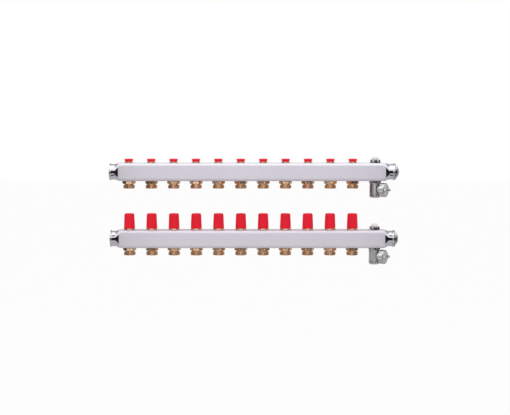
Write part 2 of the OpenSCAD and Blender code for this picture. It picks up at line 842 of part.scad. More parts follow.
// One spindle: head, stem and the half-round throttle in the outlet's housing
module balancing_spindle() {
  stem_bottom = plug_bottom - bar_w;
  cut_top = window_top - bar_w;
  difference() {
    translate([0, 0, stem_bottom]) cylinder(d = stem_d, h = head_bottom - stem_bottom + overlap);
    translate([0, -stem_d, stem_bottom - overlap])
      cube([stem_d, 2 * stem_d, cut_top - stem_bottom + overlap]);
    translate([0, 0, -stem_seal_depth - seal_groove_h / 2 - seal_gap])
      ring(stem_d + overlap, stem_groove_d, seal_groove_h + 2 * seal_gap);
    translate([0, 0, clip_top - clip_h - seal_gap])
      ring(stem_d + overlap, stem_d - 2 * clip_groove, clip_h + 2 * seal_gap);
  }
  translate([0, 0, head_bottom]) spindle_head();
}

module stem_seal() {
  section_r = (stem_bore_d - stem_groove_d) / 4 - seal_gap;
  translate([0, 0, -stem_seal_depth])
    o_ring((stem_bore_d + stem_groove_d) / 4, section_r);
}

// An open ring that snaps into the stem's groove below the insert
module stem_clip() {
  inner_d = stem_d - 2 * clip_groove + 2 * running_gap;
  translate([0, 0, clip_top - clip_h])
    difference() {
      ring(balancing_shank_d - 2 * fit_gap, inner_d, clip_h);
      translate([0, -clip_opening / 2, -overlap])
        cube([balancing_shank_d, clip_opening, clip_h + 2 * overlap]);
    }
}

module balancing_inserts() {
  color(brass) for (i = [1:circuits]) over_bar(i, upper_z) balancing_insert();
}

module balancing_spindle_at(i) {
  color(red) over_bar(i, upper_z) balancing_spindle();
}

module insert_gaskets() {
  color(rubber)
    for (i = [1:circuits]) {
      over_bar(i, upper_z) ring(balancing_hex_af, balancing_shank_d + 2 * fit_gap, gasket_h);
      over_bar(i, lower_z) ring(valve_hex_af, valve_shank_d + 2 * fit_gap, gasket_h);
    }
}

// Air vents, on the last place of each bar's top face

module vent_body() {
  difference() {
    union() {
      translate([0, 0, gasket_h]) rotate([0, 0, 30]) hex_collar(vent_hex_af, vent_hex_h);
      translate([0, 0, -vent_shank_len])
        cylinder(d = vent_shank_d, h = vent_shank_len + gasket_h + overlap);
    }
    translate([0, 0, vent_seat])
      cylinder(d = needle_d + 2 * running_gap, h = vent_top - vent_seat + overlap);
    translate([0, 0, -vent_shank_len - overlap])
      cylinder(d = vent_hole_d, h = vent_shank_len + vent_seat + 2 * overlap);
  }
}

// The needle's tip stands on the edge of the vent hole
module vent_needle() {
  translate([0, 0, vent_seat + stop_gap])
    cylinder(d1 = vent_hole_d, d2 = needle_d, h = needle_tip_h);
  translate([0, 0, vent_seat + stop_gap + needle_tip_h])
    cylinder(d = needle_d, h = needle_shoulder - vent_seat - stop_gap - needle_tip_h);
  cylinder(d = needle_spindle_d, h = vent_knob_bottom + vent_socket_h - stop_gap);
}

module vent_knob() {
  difference() {
    union() {
      cylinder(d = vent_knob_d, h = vent_knob_h - thread_chamfer);
      translate([0, 0, vent_knob_h - thread_chamfer])
        cylinder(d1 = vent_knob_d, d2 = vent_knob_d - 2 * thread_chamfer, h = thread_chamfer);
    }
    translate([0, 0, -overlap])
      cylinder(d = needle_spindle_d + 2 * running_gap, h = vent_socket_h + overlap);
    translate([-vent_knob_d, -vent_slot_w / 2, vent_knob_h - vent_slot_w])
      cube([2 * vent_knob_d, vent_slot_w, vent_slot_w + overlap]);
  }
}

module vent_bodies() {
  color(nickel) for (z = [upper_z, lower_z]) over_bar(service, z) vent_body();
}

module vent_needle_at(z) {
  color(stainless_pin) over_bar(service, z) vent_needle();
}

module vent_knob_at(z) {
  color(white) over_bar(service, z) translate([0, 0, vent_knob_bottom]) vent_knob();
}

// Drain valves, on the last place of each bar's lower face

module drain_body() {
  difference() {
    union() {
      translate([0, 0, -gasket_h]) downward() rotate([0, 0, 30]) hex_collar(drain_hex_af, drain_hex_h);
      translate([0, 0, -drain_body_depth])
        cylinder(d = drain_body_d, h = drain_body_depth - drain_hex_end + overlap);
      translate([0, 0, -gasket_h - overlap])
        cylinder(d = drain_shank_d, h = drain_shank_len + gasket_h + overlap);
      along_branch() cylinder(d = branch_d, h = branch_reach + overlap);
      along_branch() translate([0, 0, branch_reach]) thread_band(hose_thread_d, hose_thread_len);
    }
    translate([0, 0, -drain_chamber_top - overlap])
      cylinder(d = waterway_d, h = drain_chamber_top + drain_shank_len + 2 * overlap);
    translate([0, 0, -drain_body_depth - overlap])
      cylinder(d = drain_bore_d, h = drain_body_depth - drain_chamber_top + overlap);
    along_branch() cylinder(d = drain_port_d, h = hose_end + overlap);
    translate([0, 0, -drain_ring_depth - ring_slot_h / 2])
      cylinder(d = drain_bore_d + ring_slot_h, h = ring_slot_h);
  }
}

// Knob, stem and plug turn as one piece; the plug's port starts a quarter turn off the branch
module drain_knob() {
  difference() {
    translate([0, 0, -drain_knob_top - overlap])
      cylinder(d = drain_plug_d, h = drain_knob_top - drain_plug_top + overlap);
    translate([0, 0, -passage_depth]) cylinder(d = passage_d, h = passage_depth);
    rotate([0, 0, -90]) along_branch() cylinder(d = drain_port_d, h = drain_plug_d);
    translate([0, 0, -drain_seal_depth - seal_groove_h / 2 - seal_gap])
      ring(drain_plug_d + overlap, drain_groove_d, seal_groove_h + 2 * seal_gap);
    translate([0, 0, -drain_ring_depth - ring_slot_h / 2])
      ring(drain_plug_d + overlap, drain_plug_d - ring_slot_h, ring_slot_h);
  }
  difference() {
    translate([0, 0, -drain_knob_top]) downward() drain_grip();
    translate([0, 0, -drain_knob_top - drain_knob_h])
      flutes(drain_knob_flutes, drain_knob_d / 2, drain_knob_flute_r, drain_knob_flute_depth, drain_knob_h);
  }
}

module drain_grip() {
  side_h = drain_knob_h - drain_knob_r;
  rotate_extrude() {
    square([drain_knob_d / 2, side_h]);
    square([drain_knob_d / 2 - drain_knob_r, drain_knob_h]);
    translate([drain_knob_d / 2 - drain_knob_r, side_h])
      intersection() {
        circle(drain_knob_r);
        square(drain_knob_r);
      }
  }
}

module drain_seal() {
  section_r = (drain_bore_d - drain_groove_d) / 4 - seal_gap;
  translate([0, 0, -drain_seal_depth])
    o_ring((drain_bore_d + drain_groove_d) / 4, section_r);
}

module drain_ring() {
  translate([0, 0, -drain_ring_depth])
    difference() {
      o_ring((drain_bore_d + drain_plug_d) / 4, drain_ring_r);
      translate([0, -drain_ring_r, -drain_plug_d / 2]) cube([drain_plug_d, 2 * drain_ring_r, drain_plug_d]);
    }
}

module drain_cap() {
  difference() {
    union() {
      translate([0, 0, cap_skirt]) cylinder(d = drain_cap_d, h = cap_face - cap_skirt);
      for (side = [-1, 1])
        translate([0, side * ear_offset, cap_face - overlap]) cylinder(d = ear_d, h = ear_len + overlap);
    }
    translate([0, 0, cap_skirt - overlap]) cylinder(d = cap_thread_d, h = cap_floor - cap_skirt + overlap);
    translate([0, 0, cap_skirt])
      flutes(drain_cap_scallops, drain_cap_d / 2, scallop_r, scallop_depth, cap_face - cap_skirt);
    translate([-cap_recess_w / 2, -cap_recess_w / 2, cap_face - cap_recess_h])
      cube([cap_recess_w, cap_recess_w, cap_recess_h + overlap]);
  }
}

module drain_washer() {
  translate([0, 0, washer_start])
    cylinder(d = hose_thread_d - 2 * thread_chamfer, h = drain_washer_h);
}

module drain_bodies() {
  color(nickel) for (z = [upper_z, lower_z]) under_bar(service, z) drain_body();
}

module drain_knob_at(z) {
  color(nickel) under_bar(service, z) drain_knob();
}

module drain_cap_at(z) {
  color(nickel) under_bar(service, z) along_branch() drain_cap();
}

module drain_washer_at(z) {
  color(rubber) under_bar(service, z) along_branch() drain_washer();
}

module fitting_gaskets() {
  color(rubber)
    for (z = [upper_z, lower_z]) {
      over_bar(service, z) ring(vent_hex_af, vent_shank_d + 2 * fit_gap, gasket_h);
      under_bar(service, z) downward() ring(drain_hex_af, drain_shank_d + 2 * fit_gap, gasket_h);
    }
}

// Seals and retaining rings of everything that turns or slides

module stem_seals() {
  color(rubber) {
    for (i = [1:circuits]) {
      over_bar(i, upper_z) stem_seal();
      over_bar(i, lower_z) pin_seal();
    }
    for (z = [upper_z, lower_z]) under_bar(service, z) drain_seal();
  }
}

module retaining_rings() {
  color(stainless_pin) {
    for (i = [1:circuits]) over_bar(i, upper_z) stem_clip();
    for (z = [upper_z, lower_z]) under_bar(service, z) drain_ring();
  }
}

upper_bar();
lower_bar();
upper_outlets();
lower_outlets();
outlet_gaskets();
balancing_inserts();
valve_inserts();
insert_gaskets();
gland_nuts();
return_springs();
stem_seals();
retaining_rings();
end_plugs();
plug_gaskets();
vent_bodies();
drain_bodies();
fitting_gaskets();
for (i = [1:circuits]) {
  hand_cap_at(i);
  valve_pin_at(i);
  balancing_spindle_at(i);
}
for (bar = bars) {
  z = bar == "upper" ? upper_z : lower_z;
  vent_knob_at(z);
  vent_needle_at(z);
  drain_knob_at(z);
  drain_cap_at(z);
  drain_washer_at(z);
}
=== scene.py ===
import json
import math

import bmesh
import bpy
import numpy as np
from mathutils import Matrix, Vector


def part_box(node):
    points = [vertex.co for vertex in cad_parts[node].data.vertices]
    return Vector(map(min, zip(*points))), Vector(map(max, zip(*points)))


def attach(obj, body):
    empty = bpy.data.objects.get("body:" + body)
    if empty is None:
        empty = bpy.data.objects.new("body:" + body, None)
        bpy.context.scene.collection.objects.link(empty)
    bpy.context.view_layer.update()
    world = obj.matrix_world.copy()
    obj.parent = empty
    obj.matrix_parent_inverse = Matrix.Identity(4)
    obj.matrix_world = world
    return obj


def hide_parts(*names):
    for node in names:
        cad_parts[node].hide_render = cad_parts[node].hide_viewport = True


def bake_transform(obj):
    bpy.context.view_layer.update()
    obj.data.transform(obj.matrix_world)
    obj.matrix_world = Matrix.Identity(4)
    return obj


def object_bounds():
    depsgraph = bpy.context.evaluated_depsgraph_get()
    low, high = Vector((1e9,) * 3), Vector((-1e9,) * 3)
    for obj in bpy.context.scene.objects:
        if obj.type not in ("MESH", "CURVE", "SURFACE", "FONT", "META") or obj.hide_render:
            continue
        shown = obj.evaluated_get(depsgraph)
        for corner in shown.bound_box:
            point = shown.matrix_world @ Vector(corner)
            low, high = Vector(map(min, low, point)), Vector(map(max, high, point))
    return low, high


bl_info = {
    "name": "Underfloor Heating Manifold",
    "version": (1, 0, 0),
    "blender": (4, 5, 0),
    "location": "View3D > Sidebar > Manifold",
    "description": "Builds the looks of an underfloor heating manifold round its packed solids",
    "category": "Object",
}

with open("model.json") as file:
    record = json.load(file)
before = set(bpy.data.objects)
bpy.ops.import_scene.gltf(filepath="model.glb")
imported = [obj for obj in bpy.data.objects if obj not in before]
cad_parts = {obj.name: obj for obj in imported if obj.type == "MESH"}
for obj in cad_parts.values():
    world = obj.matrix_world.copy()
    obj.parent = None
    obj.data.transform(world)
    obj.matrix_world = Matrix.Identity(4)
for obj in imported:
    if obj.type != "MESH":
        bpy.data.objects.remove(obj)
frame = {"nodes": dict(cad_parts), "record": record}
CAD_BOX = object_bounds()

MM = 0.001
TURN = 2 * math.pi
SLOPE = math.tan(math.radians(30))
SHARP_ANGLE, BAR_SHARP_ANGLE = math.radians(32), math.radians(20)
# In metres: points this near are one, and faces this thin go
MERGE, COLLAPSE = 2e-6, 1e-6
# How much of a hexagon's corner is broken off, in millimetres, and the points of a thread's line in one pitch
HEX_BREAK, THREAD_POINTS = 0.25, 9


def middle(node):
    """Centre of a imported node's box, in millimetres."""
    low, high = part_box(node)
    return (low + high) / 2 / MM


# Places, in millimetres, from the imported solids
PLACES = sorted(n[-2:] for n in frame["nodes"] if n.startswith("hand_cap_"))
CIRCUITS = len(PLACES)
FIRST_X = middle("hand_cap_01").x
PITCH = middle("hand_cap_02").x - FIRST_X
SERVICE_X = middle("upper_vent_knob").x
BAR_Y = middle("lower_bar").y
BAR_Z = {"upper": middle("upper_bar").z, "lower": middle("lower_bar").z}
BAR_HALF = -BAR_Y
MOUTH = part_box("lower_bar")[1].x / MM

# Bar, in millimetres
BAR_CORNER, BAR_WALL = 6.5, 1.5
SQUARE_END, DRAW_LEN, SHOULDER_LEN = MOUTH - 20.5, 8, 8.5
DRAWN_HALF, DRAWN_CORNER = 19.7, 10
NECK_R, LIP_R, LIP_LEN, LIP_H = 17.35, 18.95, 3.5, 1.6
BORE_R, MOUTH_CHAMFER = 15.15, 1.6

# Fittings, in millimetres: heights are from the bar's face that carries the fitting
GASKET, HOLE_ROOM, HOLE_DEPTH = 0.8, 0.1, 6
SPIGOT_R, OUTLET_AF, OUTLET_COLLAR, OUTLET_GROOVE, OUTLET_END = 11, 26, 6.4, 9.4, 16.8
OUTLET_GROOVE_R, OUTLET_THREAD_R, OUTLET_BORE_R, OUTLET_BORE_TOP = 10.25, 13.22, 8, 3
OUTLET_CONE_R, OUTLET_CONE_END = 10, 13.336
WATERWAY_R, SEAT_R, SEAT_TOP, SPIGOT_TOP = 6, 7.5, 12, 10.5
STEM_BORE_R, HOUSING_R, HOUSING_TOP, COLLAR_TOP = 5.1, 8, 16, 4.5
PORT_FLOOR_TOP, PORT_COUNT, OUTLET_PORT_R, PORT_CIRCLE_R = 1, 6, 1.2, 3.4
WINDOW_LOW, WINDOW_HIGH = 5.5, 13.5
VALVE_AF, VALVE_HEX_TOP, VALVE_NECK_R, VALVE_NECK_TOP = 22, 3.7, 10, 13
VALVE_SHANK_R, VALVE_SHANK_LEN, CHAMBER_R, CHAMBER_FLOOR, PIN_BORE_R = 9, 12, 5.5, -9, 2.1
SPRING_R, SPRING_WIRE_R, SPRING_TOP = 5.3, 0.6, 3.55
CAP_FOOT, CAP_H, CAP_FOOT_R, CAP_TOP_R, CAP_BORE_R = 3.8, 32.75, 12.4, 10.9, 10.2
CAP_BOSS_R, CAP_BOSS_Z, CAP_HOLLOW_R, CAP_ROOF = 3.5, 13.25, 7.75, 29.75
CAP_BAND, CAP_BAND_Z, CAP_FLUTE_R, CAP_FLUTE_FOOT, CAP_FLUTE_TOP = 0.45, (2.9, 3.3), 1.6, 3.7, 30.1
CAP_SHOULDER, CAP_ROUND = 1.6, 1.5
CAP_LEVELS = (0.35, 2.5, *CAP_BAND_Z, CAP_FLUTE_FOOT, 4.5, 6, 12, 18, 23, 27, 29, CAP_FLUTE_TOP)
CAP_DISH = ((7.2, 0), (6.9, 0.25), (3, 0.4), (0, 0.45))
BALANCE_AF, BALANCE_HEX_TOP, BALANCE_NECK_R, BALANCE_NECK_TOP = 17, 2.3, 7.5, 2.8
BALANCE_SHANK_R, BALANCE_SHANK_LEN = 7, 8
HEAD_FOOT, HEAD_H, HEAD_R, HEAD_FOOT_R, HEAD_TAPER = 3.0, 6.3, 9.75, 8.25, 3.6
HEAD_SOCKET_AF, HEAD_SOCKET_H, HEAD_FLUTE_DEPTH, HEAD_FLUTE_R = 5, 3, 0.5, 1.4
STEM_R, STEM_FOOT, STEM_CUT, STEM_SEAL, STEM_CLIP = 5, -36, -26.5, -4, -8.5
SEAL_GROOVE, SEAL_ROOM, CLIP_GROOVE, CLIP_HALF = 1.4, 0.05, 1, 0.45
VENT_AF, VENT_TOP, VENT_SHANK_R, VENT_SHANK_LEN = 22, 7.1, 8.33, 9
NEEDLE_BORE_R, VENT_HOLE_R, VENT_SEAT = 3.1, 1.25, -4.5
VENT_KNOB_FOOT, VENT_KNOB_H, VENT_KNOB_R, VENT_SOCKET_R, VENT_SOCKET_H = 7.3, 6.1, 7.6, 2.1, 4
VENT_SLOT, VENT_RIBS, VENT_RIB_H = 1.2, 24, 0.22
DRAIN_AF, DRAIN_HEX_END, DRAIN_SHANK_R, DRAIN_SHANK_LEN = 25.36, 5, 10.48, 8
DRAIN_BODY_R, DRAIN_BODY_END, DRAIN_BORE_R, DRAIN_BORE_TOP, PORT_R = 12.2, 30.5, 7.1, 11, 4.5
BRANCH_TURN = math.radians(-32)
BRANCH_DEPTH, BRANCH_R, BRANCH_REACH, HOSE_END, HOSE_THREAD_R = 20, 8, 15.49, 24.49, 13.22
KNOB_TOP, KNOB_H, KNOB_R, KNOB_ROUND, PLUG_R, PLUG_TOP, PASSAGE_R = 30.7, 7, 12.25, 4, 7, 11.2, 5
KNOB_FLUTES, KNOB_FLUTE_DEPTH, KNOB_FLUTE_R, KNOB_FLUTE_END = 10, 0.9, 1.9, 7
DRAIN_SEAL, DRAIN_RING, DRAIN_RING_HALF = 26.7, 28.9, 0.55
DRAIN_CAP_R, DRAIN_CAP_FOOT, DRAIN_CAP_FLOOR, DRAIN_CAP_FACE = 16, 15.69, 26.44, 28.94
CAP_THREAD_R, CAP_CROWN, CAP_RIM_R, CAP_SIDE_END = 13.42, 1.6, 2, 22
SCALLOPS, SCALLOP_DEPTH, SCALLOP_R = 8, 1.0, 3.0
EAR_R, EAR_OFFSET, EAR_END, RECESS_W, RECESS_H = 3, 11, 33.44, 7, 1.5
PLUG_SHANK_R, PLUG_SHANK_LEN, PLUG_FLANGE_R, PLUG_FLANGE_END = 15.05, 12, 18.15, 2.8
PLUG_AF, PLUG_HEAD_END, PLUG_DOME_R = 25, 10.8, 20

# How a fitting that is drawn upright lies on the object
UPRIGHT = Matrix.Identity(4)
HANGING = Matrix.Translation((0, 0, -GASKET * MM))
OUTWARDS = Matrix.Rotation(TURN / 4, 4, "Y")
BRANCH = (Matrix.Translation((0, 0, -BRANCH_DEPTH * MM)) @ Matrix.Rotation(BRANCH_TURN, 4, "Z")
          @ Matrix.Rotation(TURN / 4, 4, "Y"))


class ManifoldSizes(bpy.types.PropertyGroup):
    """Sizes of the visible details, in metres."""

    inlet_pitch: bpy.props.FloatProperty(
        name="Inlet Thread Pitch", description="Pitch of the thread inside the bars' necks",
        default=0.002309, unit="LENGTH", precision=5)
    outlet_pitch: bpy.props.FloatProperty(
        name="Outlet Thread Pitch", description="Pitch of the outlet and hose threads",
        default=0.001814, unit="LENGTH", precision=5)
    neck_pitch: bpy.props.FloatProperty(
        name="Valve Thread Pitch", description="Pitch of the thread under the hand caps",
        default=0.0015, unit="LENGTH", precision=5)
    thread_depth: bpy.props.FloatProperty(
        name="Thread Depth", description="Depth of a thread as a share of its pitch",
        default=0.55, min=0.1, max=0.7, subtype="FACTOR")
    collar_turn: bpy.props.FloatProperty(
        name="Collar Turn", description="Largest turn of an outlet's hexagon away from square with the bar",
        default=math.radians(14), subtype="ANGLE")
    collar_step: bpy.props.FloatProperty(
        name="Collar Step", description="Step of the wave that spreads those turns along the bar",
        default=math.radians(137), subtype="ANGLE")
    cap_flutes: bpy.props.IntProperty(
        name="Hand Cap Flutes", description="Grip flutes round a hand cap", default=12, min=6, max=16)
    cap_flute_depth: bpy.props.FloatProperty(
        name="Hand Cap Flute Depth", description="Depth of a hand cap's grip flute",
        default=0.0005, unit="LENGTH", precision=5)
    head_flutes: bpy.props.IntProperty(
        name="Spindle Head Flutes", description="Grip flutes round a balancing spindle's head",
        default=10, min=6, max=14)
    spring_turns: bpy.props.FloatProperty(
        name="Spring Turns", description="Turns of each return spring", default=6.5, min=3, max=8)
    edge: bpy.props.FloatProperty(
        name="Edge Softness", description="How far a turned or moulded edge is rounded",
        default=0.0003, unit="LENGTH", precision=5)


class ManifoldFinishes(bpy.types.PropertyGroup):
    """Colours of the finishes."""

    steel: bpy.props.FloatVectorProperty(
        name="Satin Steel", description="Colour of the bars", size=3, subtype="COLOR",
        default=(0.80, 0.77, 0.85), min=0, max=1)
    brass: bpy.props.FloatVectorProperty(
        name="Brass", description="Colour of the outlets and inserts", size=3, subtype="COLOR",
        default=(0.89, 0.61, 0.40), min=0, max=1)
    red: bpy.props.FloatVectorProperty(
        name="Red Plastic", description="Colour of the hand caps and spindle heads", size=3,
        subtype="COLOR", default=(0.86, 0.009, 0.031), min=0, max=1)
    nickel: bpy.props.FloatVectorProperty(
        name="Nickel Plate", description="Colour of the plugs, vents and drain valves", size=3,
        subtype="COLOR", default=(0.66, 0.65, 0.66), min=0, max=1)
    white: bpy.props.FloatVectorProperty(
        name="White Plastic", description="Colour of the vent knobs", size=3, subtype="COLOR",
        default=(0.83, 0.82, 0.87), min=0, max=1)
    rubber: bpy.props.FloatVectorProperty(
        name="Rubber", description="Colour of the gaskets and seals", size=3, subtype="COLOR",
        default=(0.022, 0.022, 0.024), min=0, max=1)
    pin_steel: bpy.props.FloatVectorProperty(
        name="Pin Steel", description="Colour of pins, springs and rings", size=3, subtype="COLOR",
        default=(0.56, 0.56, 0.58), min=0, max=1)


class ManifoldStage(bpy.types.PropertyGroup):
    """Camera and light."""

    distance: bpy.props.FloatProperty(
        name="Camera Distance", description="From the camera to the middle of the object",
        default=2.3, unit="LENGTH")
    elevation: bpy.props.FloatProperty(
        name="Camera Elevation", description="Angle of the camera above the horizon",
        default=math.radians(5.2), subtype="ANGLE")
    frame_width: bpy.props.FloatProperty(
        name="Frame Width", description="Width that the picture takes in at the object",
        default=1.143, unit="LENGTH")
    key: bpy.props.FloatProperty(
        name="Overhead Light", description="Power of the soft light over the object", default=9, unit="POWER")
    surroundings: bpy.props.FloatProperty(
        name="Surroundings", description="Strength of the white room's light", default=1.0, min=0, max=1)


# Shared shapes


def unit(value):
    """A value kept between 0 and 1."""
    return min(1.0, max(0.0, value))


def soften(corners, edge, steps=3):
    """(radius, height) points of a profile whose corners are rounded over the given distance."""
    points = []
    count = len(corners)
    for k, here in enumerate(corners):
        here = np.array(here, float)
        if k in (0, count - 1):
            points.append(here)
            continue
        before = np.array(corners[k - 1], float) - here
        after = np.array(corners[k + 1], float) - here
        reach = min(edge, np.linalg.norm(before) * 0.45, np.linalg.norm(after) * 0.45)
        start = here + before / max(np.linalg.norm(before), 1e-9) * reach
        end = here + after / max(np.linalg.norm(after), 1e-9) * reach
        for t in np.linspace(0, 1, steps + 1):
            points.append((1 - t) ** 2 * start + 2 * t * (1 - t) * here + t ** 2 * end)
    return [tuple(p) for p in points]


def hex_radius(across_flats, angle):
    """Distance from a hexagon's centre to its side, with its corners just broken."""
    off = angle % (TURN / 6) - TURN / 12
    return min(across_flats / 2 / math.cos(off), across_flats / 2 / math.cos(TURN / 12) - HEX_BREAK)


def hex_corners(across_flats, foot, top, angle):
    """Profile of a hexagon from its foot to its top, where its corners are turned off."""
    radius = hex_radius(across_flats, angle)
    fall = math.copysign((radius - across_flats / 2) * SLOPE + 0.05, top - foot)
    return [(radius, foot), (radius, top - fall), (across_flats / 2, top)]


def flute(angle, count, radius, depth, groove_r):
    """How far a round groove, one of count, cuts into a grip at this angle."""
    step = TURN / count
    off = radius * ((angle + step / 2) % step - step / 2)
    return max(0.0, math.sqrt(max(0.0, groove_r ** 2 - off ** 2)) - (groove_r - depth))


def thread_line(radius, pitch, depth, start, end, angle, chamfer=0.8, inside=False):
    """Profile of a screw thread from start to end, as it is cut at this angle."""
    count = int(abs(end - start) / pitch * THREAD_POINTS)
    points = []
    for z in np.linspace(start, end, count + 1):
        phase = (z / pitch - angle / TURN) % 1
        ridge = unit(1.5 - 4 * abs(phase - 0.5))
        edge = min(abs(z - start), abs(end - z))
        if inside:
            points.append((radius + depth * ridge * min(1.0, edge / chamfer), z))
        else:
            points.append((min(radius - depth * (1 - ridge), radius - chamfer + edge), z))
    return points


def smooth(mesh, sharp=SHARP_ANGLE):
    """Shades a mesh smooth, apart from its sharp edges."""
    mesh.shade_smooth()
    mesh.set_sharp_from_angle(angle=sharp)
    return mesh


def quarter(centre_r, centre_z, radius, steps, rise=1):
    """Profile of a quarter circle, from its side to its end."""
    return [(centre_r + radius * math.cos(t), centre_z + rise * radius * math.sin(t))
            for t in np.linspace(0, TURN / 4, steps)]


def shank(radius, length, chamfer):
    """Profile of a fitting's part in the bar, from its chamfered end to its gasket's face."""
    return [(radius - chamfer, -length), (radius, -length + chamfer), (radius, GASKET)]


def finish_mesh(mesh):
    """Merges doubles, turns the faces outwards and marks the sharp edges."""
    bm = bmesh.new()
    bm.from_mesh(mesh)
    bmesh.ops.remove_doubles(bm, verts=bm.verts, dist=MERGE)
    bmesh.ops.dissolve_degenerate(bm, edges=bm.edges, dist=COLLAPSE)
    bmesh.ops.delete(bm, geom=[e for e in bm.edges if not e.link_faces], context="EDGES")
    bmesh.ops.recalc_face_normals(bm, faces=bm.faces)
    bm.to_mesh(mesh)
    bm.free()
    return smooth(mesh)


def grid_mesh(name, rows, turning, loop):
    """A mesh from rows of points, in millimetres, in a ring of rows; loop joins the ends of each row too."""
    rows = np.asarray(rows, float)
    count, width = rows.shape[:2]
    faces = []
    for k in range(count):
        near, far = k * width, (k + 1) % count * width
        for j in range(width if loop else width - 1):
            side = (j + 1) % width
            faces.append((near + j, near + side, far + side, far + j))
    mesh = bpy.data.meshes.new(name)
    mesh.from_pydata((rows.reshape(-1, 3) * MM).tolist(), [], faces)
    marks = mesh.attributes.new("turning", "FLOAT", "POINT")
    marks.data.foreach_set("value", np.tile(turning, count).astype(np.float32) * MM)
    return finish_mesh(mesh)


def turned(name, profile_at, steps=72, loop=True):
    """A turned piece: profile_at(angle) gives (radius, height) pairs, equally many at every angle."""
    rows = []
    for k in range(steps):
        angle = TURN * k / steps
        profile = np.array(profile_at(angle), float)
        rows.append(np.column_stack((
            profile[:, 0] * math.cos(angle), profile[:, 0] * math.sin(angle), profile[:, 1])))
    first = np.array(profile_at(0.0), float)
    path = np.concatenate(([0], np.cumsum(np.linalg.norm(np.diff(first, axis=0), axis=1))))
    return grid_mesh(name, rows, path, loop)


def ring_of(outer, inner, height):
    """A flat ring with softened edges, standing on height zero."""
    profile = soften([(inner, 0), (outer, 0), (outer, height), (inner, height), (inner, 0)], 0.15, 2)
    return lambda angle: profile[:-1]


def rod(radius, low, high, steps=48):
    """A plain round cutter or filler."""
    return turned("rod", lambda angle: [(0, low), (radius, low), (radius, high), (0, high)], steps, False)


def block(size, centre):
    """A plain box cutter."""
    mesh = bpy.data.meshes.new("block")
    bm = bmesh.new()
    bmesh.ops.create_cube(bm, size=1)
    bm.to_mesh(mesh)
    bm.free()
    mesh.transform(Matrix.Translation(Vector(centre) * MM) @ Matrix.Diagonal((*(Vector(size) * MM), 1)))
    return mesh


def moved(mesh, matrix):
    """The same mesh, moved by a matrix."""
    mesh.transform(matrix)
    return mesh


def combine(mesh, other, operation):
    """The union or difference of two closed meshes."""
    holder = bpy.data.objects.new("combine_base", mesh)
    tool = bpy.data.objects.new("combine_tool", other)
    for o in (holder, tool):
        bpy.context.scene.collection.objects.link(o)
    cut = holder.modifiers.new("Cut", "BOOLEAN")
    cut.operation, cut.solver, cut.object = operation, "EXACT", tool
    graph = bpy.context.evaluated_depsgraph_get()
    made = bpy.data.meshes.new_from_object(holder.evaluated_get(graph))
    for o in (holder, tool):
        bpy.data.objects.remove(o)
    return smooth(made)


# Node trees that repeat a fitting or a hole along a bar


def feed(node, **inputs):
    """Sets or links a node's inputs, by name or as i and a number. A node stands for its first output."""
    for key, value in inputs.items():
        numbered = key[0] == "i" and key[1:].isdigit()
        socket = node.inputs[int(key[1:]) if numbered else key.replace("_", " ")]
        if isinstance(value, bpy.types.Node):
            value = value.outputs[0]
        if isinstance(value, bpy.types.NodeSocket):
            node.id_data.links.new(value, socket)
        else:
            socket.default_value = value
    return node


def add(tree, kind, settings=None, **inputs):
    """A new node, with its settings and its inputs."""
    made = tree.nodes.new(kind)
    for key, value in (settings or {}).items():
        setattr(made, key, value)
    return feed(made, **inputs)


def maths(tree, operation, *values):
    """A new node that works out a value from others."""
    return add(tree, "ShaderNodeMath", {"operation": operation}, **{f"i{k}": v for k, v in enumerate(values)})


def new_tree(name, kind, inputs, outputs):
    """A node tree with named sockets, the outputs of its input node, and its output node."""
    tree = bpy.data.node_groups.new(name, kind)
    for way, sockets in (("INPUT", inputs), ("OUTPUT", outputs)):
        for label, socket in sockets:
            tree.interface.new_socket(label, in_out=way, socket_type="NodeSocket" + socket)
    return tree, tree.nodes.new("NodeGroupInput").outputs, tree.nodes.new("NodeGroupOutput")


def geometry_tree(name, *inputs):
    """A geometry node tree that also takes and gives a geometry."""
    shape = ("Geometry", "Geometry")
    return new_tree(name, "GeometryNodeTree", [shape, *inputs], [shape])


def repeated(tree, given, **shape):
    """Plain copies of a shape, at a count of places one pitch apart."""
    step = add(tree, "ShaderNodeCombineXYZ", X=given["Pitch"])
    line = add(tree, "GeometryNodeMeshLine", Count=given["Count"], Start_Location=given["First Place"],
               Offset=step)
    put = add(tree, "GeometryNodeInstanceOnPoints", Points=line, **shape)
    return add(tree, "GeometryNodeRealizeInstances", Geometry=put)


def dressed(tree, given, out, shape):
    """Gives a tree's shape its finish and ends the tree."""
    feed(out, Geometry=add(tree, "GeometryNodeSetMaterial", Geometry=shape, Material=given["Finish"]))
    return tree


def row_tree():
    """Geometry nodes: one fitting repeated along a bar, each turned a little by a wave."""
    tree, given, out = geometry_tree(
        "Row Along Bar", ("Fitting", "Object"), ("Count", "Int"), ("Pitch", "Float"),
        ("First Place", "Vector"), ("Most Turn", "Float"), ("Turn Step", "Float"), ("Finish", "Material"))
    fitting = add(tree, "GeometryNodeObjectInfo", Object=given["Fitting"], As_Instance=True)
    index = add(tree, "GeometryNodeInputIndex")
    wave = maths(tree, "MULTIPLY_ADD", index, given["Turn Step"], given["Turn Step"])
    turn = maths(tree, "MULTIPLY", maths(tree, "SINE", wave), given["Most Turn"])
    angles = add(tree, "ShaderNodeCombineXYZ", Z=turn)
    row = repeated(tree, given, Instance=fitting.outputs["Geometry"], Rotation=angles)
    return dressed(tree, given, out, row)


